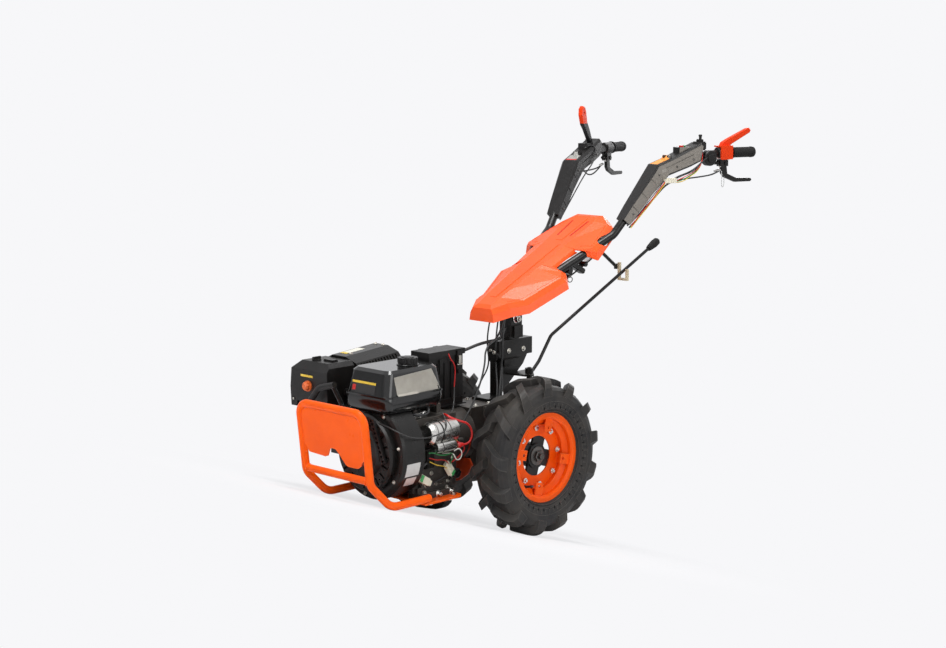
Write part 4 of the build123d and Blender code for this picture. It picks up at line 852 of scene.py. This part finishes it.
# Battery box: strap, ribs, latch and leads
blocks("battery_ribs", [
    (at((128, 19.5, 292)), (22, 3, 62), 1),
    (at((128, 23, 322)), (26, 5, 16), 1.5),
    (at((128, 23, 262)), (18, 6, 14), 1.5),
    *((at((x, 17, 236)), (5, 4, 120), 1) for x in (160, 190, 220)),
    (at((181, 18, 178)), (146, 5, 6), 1.5),
], BODY_BLACK)
bm = bmesh.new()
brick(bm, at((128, 25.5, 300)), (12, 3, 26), 1)
ring(bm, frame_at((116, 24, 284), FORWARD), [(2.4, 0), (2.4, 24)], 12)
close("battery_latch", bm, ZINC)
tube("battery_red_lead", [
    (176, 10, 332), (176, 20, 326), (170, 23, 306), (150, 23, 286), (146, 22, 256), (152, 22, 214),
], 1.9, material=CABLE_RED)
tube("battery_feed", [(152, 22, 214), (158, 28, 180), (180, 46, 158), (220, 78, 150), (258, 98, 148)], 2.6)

# Cables between the chassis and the column; those given blend are baked in place and joined to no body
tube("battery_black_lead", [
    (104, 0, 318), (74, 4, 324), (43, 6, 331), (12, 8, 336), (-19, 10, 338), (-44, 22, 342), (-60, 32, 352),
    (-70, 34, 380),
], 5, blend=((20, 8, 334), (-70, 34, 380)))
tube("loom_front", [
    (33, 60, 339), (56, 66, 322), (62, 72, 290), (82, 80, 250), (104, 84, 212), (140, 92, 166),
    (178, 100, 132), (200, 100, 104), (222, 92, 96),
], 3)
tube("loom_upper", [
    (33, 60, 339), (8, 52, 344), (-20, 44, 352), (-44, 38, 372), (-62, 34, 398), (-74, 34, 436),
], 3.4, blend=((8, 52, 344), (-74, 34, 436)))
for name, y, shift, radius in (
    ("throttle_cable", 22, -8, 2.6),
    ("clutch_cable", 30, 4, 3.0),
    ("brake_cable_left", 14, 14, 2.6),
    ("brake_cable_right", -30, -4, 2.6),
):
    low = (-64 + shift, y, 250)
    high = (-84 + shift, y * 1.1, 452)
    side = LEFT if y > 0 else RIGHT
    tube(name, [
        (-20 + shift, side * 58, 148), (-34 + shift, side * 50, 190), low, (-58 + shift, y * 1.3, 320),
        (-66 + shift, y * 1.2, 390), high,
    ], radius, blend=(low, high))

# Column and swivel: bolts on either side, and the washers of the column's pivot
PIVOT_X, PIVOT_Z = -134, 403
SIDE_ENDINGS = {LEFT: "", RIGHT: "_right"}
for side, ending in SIDE_ENDINGS.items():
    bolts_on("column_bolts" + ending, "column", [(PIVOT_X, side * 120, z) for z in (PIVOT_Z, PIVOT_Z + 43)],
             (0, -side, 0), 7)
bm = bmesh.new()
for side in (LEFT, RIGHT):
    ring(bm, frame_at((PIVOT_X, side * 26, PIVOT_Z), (0, side, 0)), [(15, 0), (15, 1.4), (14, 2)], 32)
close("column_washers", bm, STEEL, "handlebar")
bm = bmesh.new()
torus(bm, frame_at((PIVOT_X, 28.4, PIVOT_Z), LEFTWARD), 11.6, 1.0, 32, 6)
close("column_washer_ring", bm, LABEL_RED, "handlebar")
for side, ending in SIDE_ENDINGS.items():
    bolts_on("swivel_side_bolts" + ending, "swivel_base",
             [(x, side * 160, z) for x, z in ((-100, 300), (-170, 300), (PIVOT_X, 230))], (0, -side, 0), 6)
bolts_on("swivel_front_bolts", "swivel_base", [(80, 14, 300), (80, -14, 300)], BACK, 5)

# Both handlebar arms: screws and raised steps on the shells, and blank labels on top
SCREW = {"material": DARK_STEEL, "washer": False, "socket": True}
for side, hand in HAND.items():
    shell = "arm_shell_" + hand
    away = -outward(side)
    spots = ((-96, 730), (4, 858), (150, 906), (80, 884))
    outer = [arm(s, z, CAST_FROM, side) for s, z in spots]
    inner = [arm(s, z, -CAST_FROM, side) for s, z in spots[:3]]
    bolts_on("shell_screws_" + hand, shell, outer, away, 3.4, **SCREW)
    bolts_on("shell_inner_screws_" + hand, shell, inner, -away, 3.4, **SCREW)
    for k, (s0, s1) in enumerate(((14, 34), (44, 64))):
        corners = [arm(s, z, CAST_FROM, side) for s, z in ((s0, 862), (s1, 868), (s1, 880), (s0, 874))]
        lay_on(f"shell_step_{hand}_{k}", shell, corners, away, 0.8, SHELL_GREY, 4, 3)
for name, side, end, rise, material in (
    ("arm_label_left", LEFT, 56, 0.5, LABEL_ORANGE),
    ("arm_label_right", RIGHT, 46, 0.5, LABEL_GREY),
    ("arm_label_right_stripe", RIGHT, 12, 0.7, LABEL_RED),
):
    corners = [arm(s, 1000, out, side) for s, out in ((4, 20), (end, 20), (end, -20), (4, -20))]
    lay_on(name, "arm_shell_" + HAND[side], corners, DOWN, rise, material)

# Left arm: rockers, switch pod with its stub, connector, wires and a clear loop
for name, place, size, material in (
    ("rocker_red", (116, 950, 6), (15, 11, 7), LABEL_RED),
    ("rocker_green", (138, 950, -7), (11, 9, 6), GREEN_PLASTIC),
):
    blocks(name, [(arm_frame(*place), size, 1.5)], material, "handlebar")
bm = bmesh.new()
ring(bm, frame_at(arm(232, 908, -2), outward(LEFT)), [(24, 0), (27, 3), (27, 24), (24, 28)], 36)
ring(bm, frame_at(arm(232, 908, 26), outward(LEFT)), [(15, 0), (15, 3), (13, 4.5)])
brick(bm, arm_frame(196, 950, 4), (40, 34, 30), 4, 3)
brick(bm, arm_frame(198, 968, 4), (22, 16, 10), 2)
ring(bm, at(Vector(arm(200, 970, 4))), [(5, 0), (5, 12), (6.5, 13), (6.5, 17), (4, 19)], 20)
close("switch_pod", bm, BODY_BLACK, "handlebar")
bolts_on("pod_screws", "arm_shell_left", [arm(186, 1000, 14), arm(186, 1000, -14)], DOWN, 2.6, **SCREW)
blocks("arm_connector", [
    (arm_frame(52, 838, 38), (38, 13, 17), 1.5),
    (arm_frame(28, 836, 38), (12, 11, 13), 1),
], CREAM, "handlebar")
for k, (material, drop, spread) in enumerate((
    (CABLE_RED, 0, 5),
    (CABLE_GREEN, -4, 0),
    (RUBBER_BLACK, 4, -4),
    (CABLE_YELLOW, -7, 3),
)):
    tube(f"arm_wire_{k}", arm_points([
        (72, 838 + drop, 38 + spread), (96, 846 + drop * 2, 42), (128, 858 + drop, 44), (160, 872 + drop, 40),
        (186, 896, 34 + spread / 2), (196, 930, 22),
    ]), 1.5, "handlebar", material)
    tube(f"arm_wire_front_{k}", arm_points([
        (24, 836 + drop, 38 + spread / 2), (0, 808 + drop, 36), (-34, 768 + drop, 30 + spread),
        (-70, 728 + drop, 26), (-104, 690 + drop, 18 + spread),
    ]), 1.5, "handlebar", material)
tube("clear_loop", arm_points([
    (286, 862, 16), (284, 844, 22), (280, 818, 24), (286, 804, 22), (296, 816, 20), (298, 840, 16),
]), 1.3, "handlebar", CLEAR_TUBE)

# Both arms: brake and lever cables, with their adjusters and bolts
for side, hand in HAND.items():
    tube("brake_cable_" + hand + "_arm", arm_points([
        (286, 864, 8), (258, 852, 12), (200, 846, 22), (110, 842, 34), (40, 832, 34), (-10, 784, 28),
        (-60, 726, 20), (-104, 684, 12),
    ], side), 2.6, "handlebar")
    bm = bmesh.new()
    forward = -rearward(side)
    ring(bm, frame_at(arm(286, 865, 8, side), forward + Vector((0, 0, -0.12))),
         [(4.2, 0), (4.2, 12), (5.4, 12), (5.4, 16), (3.4, 17), (3.4, 26)], 16)
    ring(bm, frame_at(arm(282, 906, 10, side), forward),
         [(4.4, 0), (4.4, 14), (6, 14), (6, 18), (3.6, 19), (3.6, 30)], 16)
    bolt(bm, arm(292, 880, 0, side), DOWN, 5)
    bolt(bm, arm(312, 906, 20, side), outward(side), 5)
    close("lever_adjusters_" + hand, bm, STEEL, "handlebar")
    tube("lever_cable_" + hand, arm_points([
        (252, 907, 10), (226, 914, 20), (190, 902, 36), (140, 866, 37), (60, 846, 35), (-4, 790, 26),
        (-60, 732, 18), (-108, 690, 6),
    ], side), 2.6, "handlebar")

# Right arm: hanging cable, a bent steel bracket and the throttle cable, and the collars of both grips
tube("hanging_cable", arm_points([
    (150, 896, 30), (176, 870, 40), (206, 836, 42), (244, 824, 36), (276, 842, 24), (290, 868, 10),
], RIGHT), 2.6, "handlebar")
bm = bmesh.new()
bricks = 10
for k in range(bricks):
    a = math.radians(150 * k / bricks)
    place = arm_frame(168 + 24 * math.sin(a), 956 + 14 * (1 - math.cos(a)), 22, RIGHT)
    brick(bm, place, (8, 3, 6), 0.6, 1)
close("right_bracket", bm, STEEL, "handlebar")
tube("throttle_cable_arm", arm_points([
    (96, 930, -10), (112, 944, -20), (140, 934, -34), (120, 884, -37), (50, 842, -34), (-20, 776, -26),
    (-100, 690, -12),
], RIGHT), 2.2, "handlebar")
GRIP_Z = 923.5
bm = bmesh.new()
for side in (LEFT, RIGHT):
    for s in (428, 346):
        place = frame_at(arm(s, GRIP_Z, 0, side), rearward(side))
        ring(bm, place, [(17.5, -3), (19, -2), (19, 2), (17, 3)], 32)
close("grip_collars", bm, MATERIALS["soft_black"], "handlebar")

# Under the cover's waist: a pin with its ring, a clamp, a spring and three cables
bm = bmesh.new()
ring(bm, frame_at((-318, 92, 532), LEFTWARD), [(5, -40), (5, 6), (4, 8)], 16)
torus(bm, frame_at((-318, 98, 522), (0.3, 1, 0)), 9, 1.6, 28)
close("waist_pin", bm, DARK_STEEL, "handlebar")
bm = bmesh.new()
slope = Matrix.Rotation(-0.46, 4, "Y")
brick(bm, at((-372, 78, 556)) @ slope, (74, 26, 18), 3)
brick(bm, at((-330, 74, 548)) @ slope, (26, 34, 22), 3)
ring(bm, frame_at((-402, 82, 566), LEFTWARD), [(9, -12), (9, 14), (7, 16)])
close("waist_clamp", bm, MATERIALS["black_paint"], "handlebar")
coil_spring("waist_spring", (-408, 84, 574), (-0.9, 0, 0.42), 73, 5, 0.9, "handlebar")
for k, (y, drop) in enumerate(((70, 0), (84, -12), (-74, -4))):
    tube(f"waist_cable_{k}", [
        (-150, y * 0.6, 486 + drop), (-240, y, 512 + drop), (-330, y, 540 + drop), (-430, y + 8, 590 + drop),
        (-500, y + 4, 624 + drop),
    ], 2.8, "handlebar")

# Gearbox, engine head and hitch, recoil rope, and the sides that the photograph hides
bolts_on("gearbox_top_bolts", "gearbox", [(x, y, 400) for x in (-40, 20, 80) for y in (-48, 48)], DOWN, 5.5)
bolts_on("gearbox_rear_bolts", "gearbox", [(-400, y, z) for y in (-46, 46) for z in (-40, 20)], FORWARD, 5.5)
bolts_on("engine_head_bolts", "cylinder_head", [(x, -400, z) for x in (290, 364) for z in (20, 110)],
         LEFTWARD, 5)
pin = Vector((-130, 0, 12))
bm = bmesh.new()
ring(bm, at(pin), [(7.2, -80), (7.2, 2)])
ring(bm, at(pin), [(13, 2), (13, 6), (11, 8)])
torus(bm, frame_at(pin + Vector((0, 0, 20)), FORWARD), 12, 2.2, 32)
close("hitch_lock_pin", bm, STEEL)
tube("recoil_rope", [(543, 20, 122), (548, 12, 112), (546, 4, 96), (538, 0, 78)], 2.4)
bm = bmesh.new()
ring(bm, frame_at((206, -300, 210), BACK), [(15, -6), (15, 26), (13, 26), (13, 4)], 32)
close("muffler_outlet", bm, DARK_STEEL, "chassis")
bm = bmesh.new()
ring(bm, frame_at((330, -185, 58), (0, -1, -0.2)), [(8, 0), (8, 26), (11, 28), (11, 50), (7, 56)])
close("spark_plug_cap", bm, RUBBER_BLACK, "chassis")
tube("spark_lead", [
    (330, -236, 48), (348, -238, 66), (376, -214, 92), (396, -176, 108), (402, -150, 120),
], 3.4)

# Tyre walls: rings of short raised marks on both sides of each tyre
for wheel_side, hand in HAND.items():
    tree = surface_of("tyre_" + hand)
    bm = bmesh.new()
    middle = wheel_side * TRACK
    for radius, count, long in ((164, 40, 9), (181, 46, 5), (196, 52, 8)):
        for k in range(count):
            a = 2 * math.pi * k / count
            for side in (LEFT, RIGHT):
                start = Vector((radius * math.cos(a), middle + side * 120, radius * math.sin(a)))
                hit, normal = tree.ray_cast(start, Vector((0, -side, 0)))[:2]
                if hit is None or abs(hit.y - middle) > 62:
                    continue
                brick(bm, facing(hit, normal, (math.cos(a), 0, math.sin(a))), (3.4, long, 1.8), 0)
    close("tyre_marks_" + hand, bm, MARK_BLACK, "wheel_" + hand)

# Floor, light and camera
BACKDROP = (0.93, 0.93, 0.947, 1)


def pale_floor():
    """A white floor that keeps a soft shadow and fades into the backdrop away from the machine."""
    mesh = bpy.data.meshes.new("floor")
    far = 40
    mesh.from_pydata([(-far, -far, 0), (far, -far, 0), (far, far, 0), (-far, far, 0)], [], [(0, 1, 2, 3)])
    made = bpy.data.materials.new("floor_white")
    made.use_nodes = True
    tree = made.node_tree
    nodes, links = tree.nodes, tree.links
    principled = nodes["Principled BSDF"]
    principled.inputs["Base Color"].default_value = (0.84, 0.84, 0.855, 1)
    principled.inputs["Roughness"].default_value = 0.8
    principled.inputs["Specular IOR Level"].default_value = 0.1
    glow = nodes.new("ShaderNodeEmission")
    glow.inputs["Color"].default_value = BACKDROP
    place = nodes.new("ShaderNodeTexCoord")
    away = nodes.new("ShaderNodeVectorMath")
    away.operation = "LENGTH"
    links.new(place.outputs["Object"], away.inputs[0])
    fade = remap(tree, away.outputs["Value"], (0.5, 1.3), (0.74, 1.0), "SMOOTHSTEP")
    rays = nodes.new("ShaderNodeLightPath")
    share = math_node(tree, "MULTIPLY", rays.outputs["Is Camera Ray"], fade)
    mix = nodes.new("ShaderNodeMixShader")
    links.new(share, mix.inputs["Fac"])
    links.new(principled.outputs["BSDF"], mix.inputs[1])
    links.new(glow.outputs["Emission"], mix.inputs[2])
    links.new(mix.outputs["Shader"], nodes["Material Output"].inputs["Surface"])
    mesh.materials.append(made)
    added("floor", mesh)


def world():
    """A soft surround for the light, and the plain backdrop for the camera and for reflections."""
    made = bpy.data.worlds.new("studio")
    bpy.context.scene.world = made
    made.use_nodes = True
    tree = made.node_tree
    nodes, links = tree.nodes, tree.links
    soft = nodes["Background"]
    soft.inputs["Color"].default_value = (0.93, 0.94, 0.96, 1)
    soft.inputs["Strength"].default_value = 0.36
    plain = nodes.new("ShaderNodeBackground")
    plain.inputs["Color"].default_value = BACKDROP
    rays = nodes.new("ShaderNodeLightPath").outputs
    seen = math_node(tree, "MAXIMUM", rays["Is Camera Ray"], rays["Is Glossy Ray"])
    seen = math_node(tree, "MAXIMUM", seen, rays["Is Transmission Ray"])
    mix = nodes.new("ShaderNodeMixShader")
    links.new(seen, mix.inputs["Fac"])
    links.new(soft.outputs["Background"], mix.inputs[1])
    links.new(plain.outputs["Background"], mix.inputs[2])
    links.new(mix.outputs["Shader"], nodes["World Output"].inputs["Surface"])


def lamps():
    for name, place, aim_z, energy, size in (
        ("top", (0.9, 0.5, 3.6), 0.6, 84, 1.6),
        ("key", (3.2, 0.6, 1.7), 0.6, 40, 1.8),
        ("fill", (0.4, 3.4, 1.3), 0.6, 27, 2.0),
        ("rear", (-2.8, -0.9, 2.4), 0.7, 24, 1.6),
    ):
        lamp = bpy.data.lights.new(name, "AREA")
        lamp.energy = energy
        lamp.shape = "RECTANGLE"
        lamp.size = size
        lamp.size_y = size * 0.7
        thing = added(name, lamp)
        thing.location = place
        thing.rotation_mode = "QUATERNION"
        thing.rotation_quaternion = (Vector((0, 0, aim_z)) - Vector(place)).to_track_quat("-Z", "Y")


def photo_camera():
    """The camera fitted to the photograph: place in machine metres, angles in radians, lens in pixels."""
    place = Vector((3.988, 3.810, 1.22557))
    yaw, pitch = 0.767989, 0.149110
    focal_pixels, picture_width = 1726.7, 946
    ahead = Vector((-math.cos(yaw) * math.cos(pitch), -math.sin(yaw) * math.cos(pitch), -math.sin(pitch)))
    across = Vector((-math.sin(yaw), math.cos(yaw), 0))
    up = across.cross(ahead)
    lens = bpy.data.cameras.new("photo_camera")
    lens.sensor_width = 36
    lens.lens = focal_pixels / picture_width * lens.sensor_width
    thing = added("photo_camera", lens)
    turn = Matrix((across, up, -ahead)).transposed().to_4x4()
    thing.matrix_world = PARK @ at(place) @ turn
    bpy.context.scene.camera = thing


pale_floor()
world()
lamps()
photo_camera()
bpy.context.scene.view_settings.view_transform = "Standard"
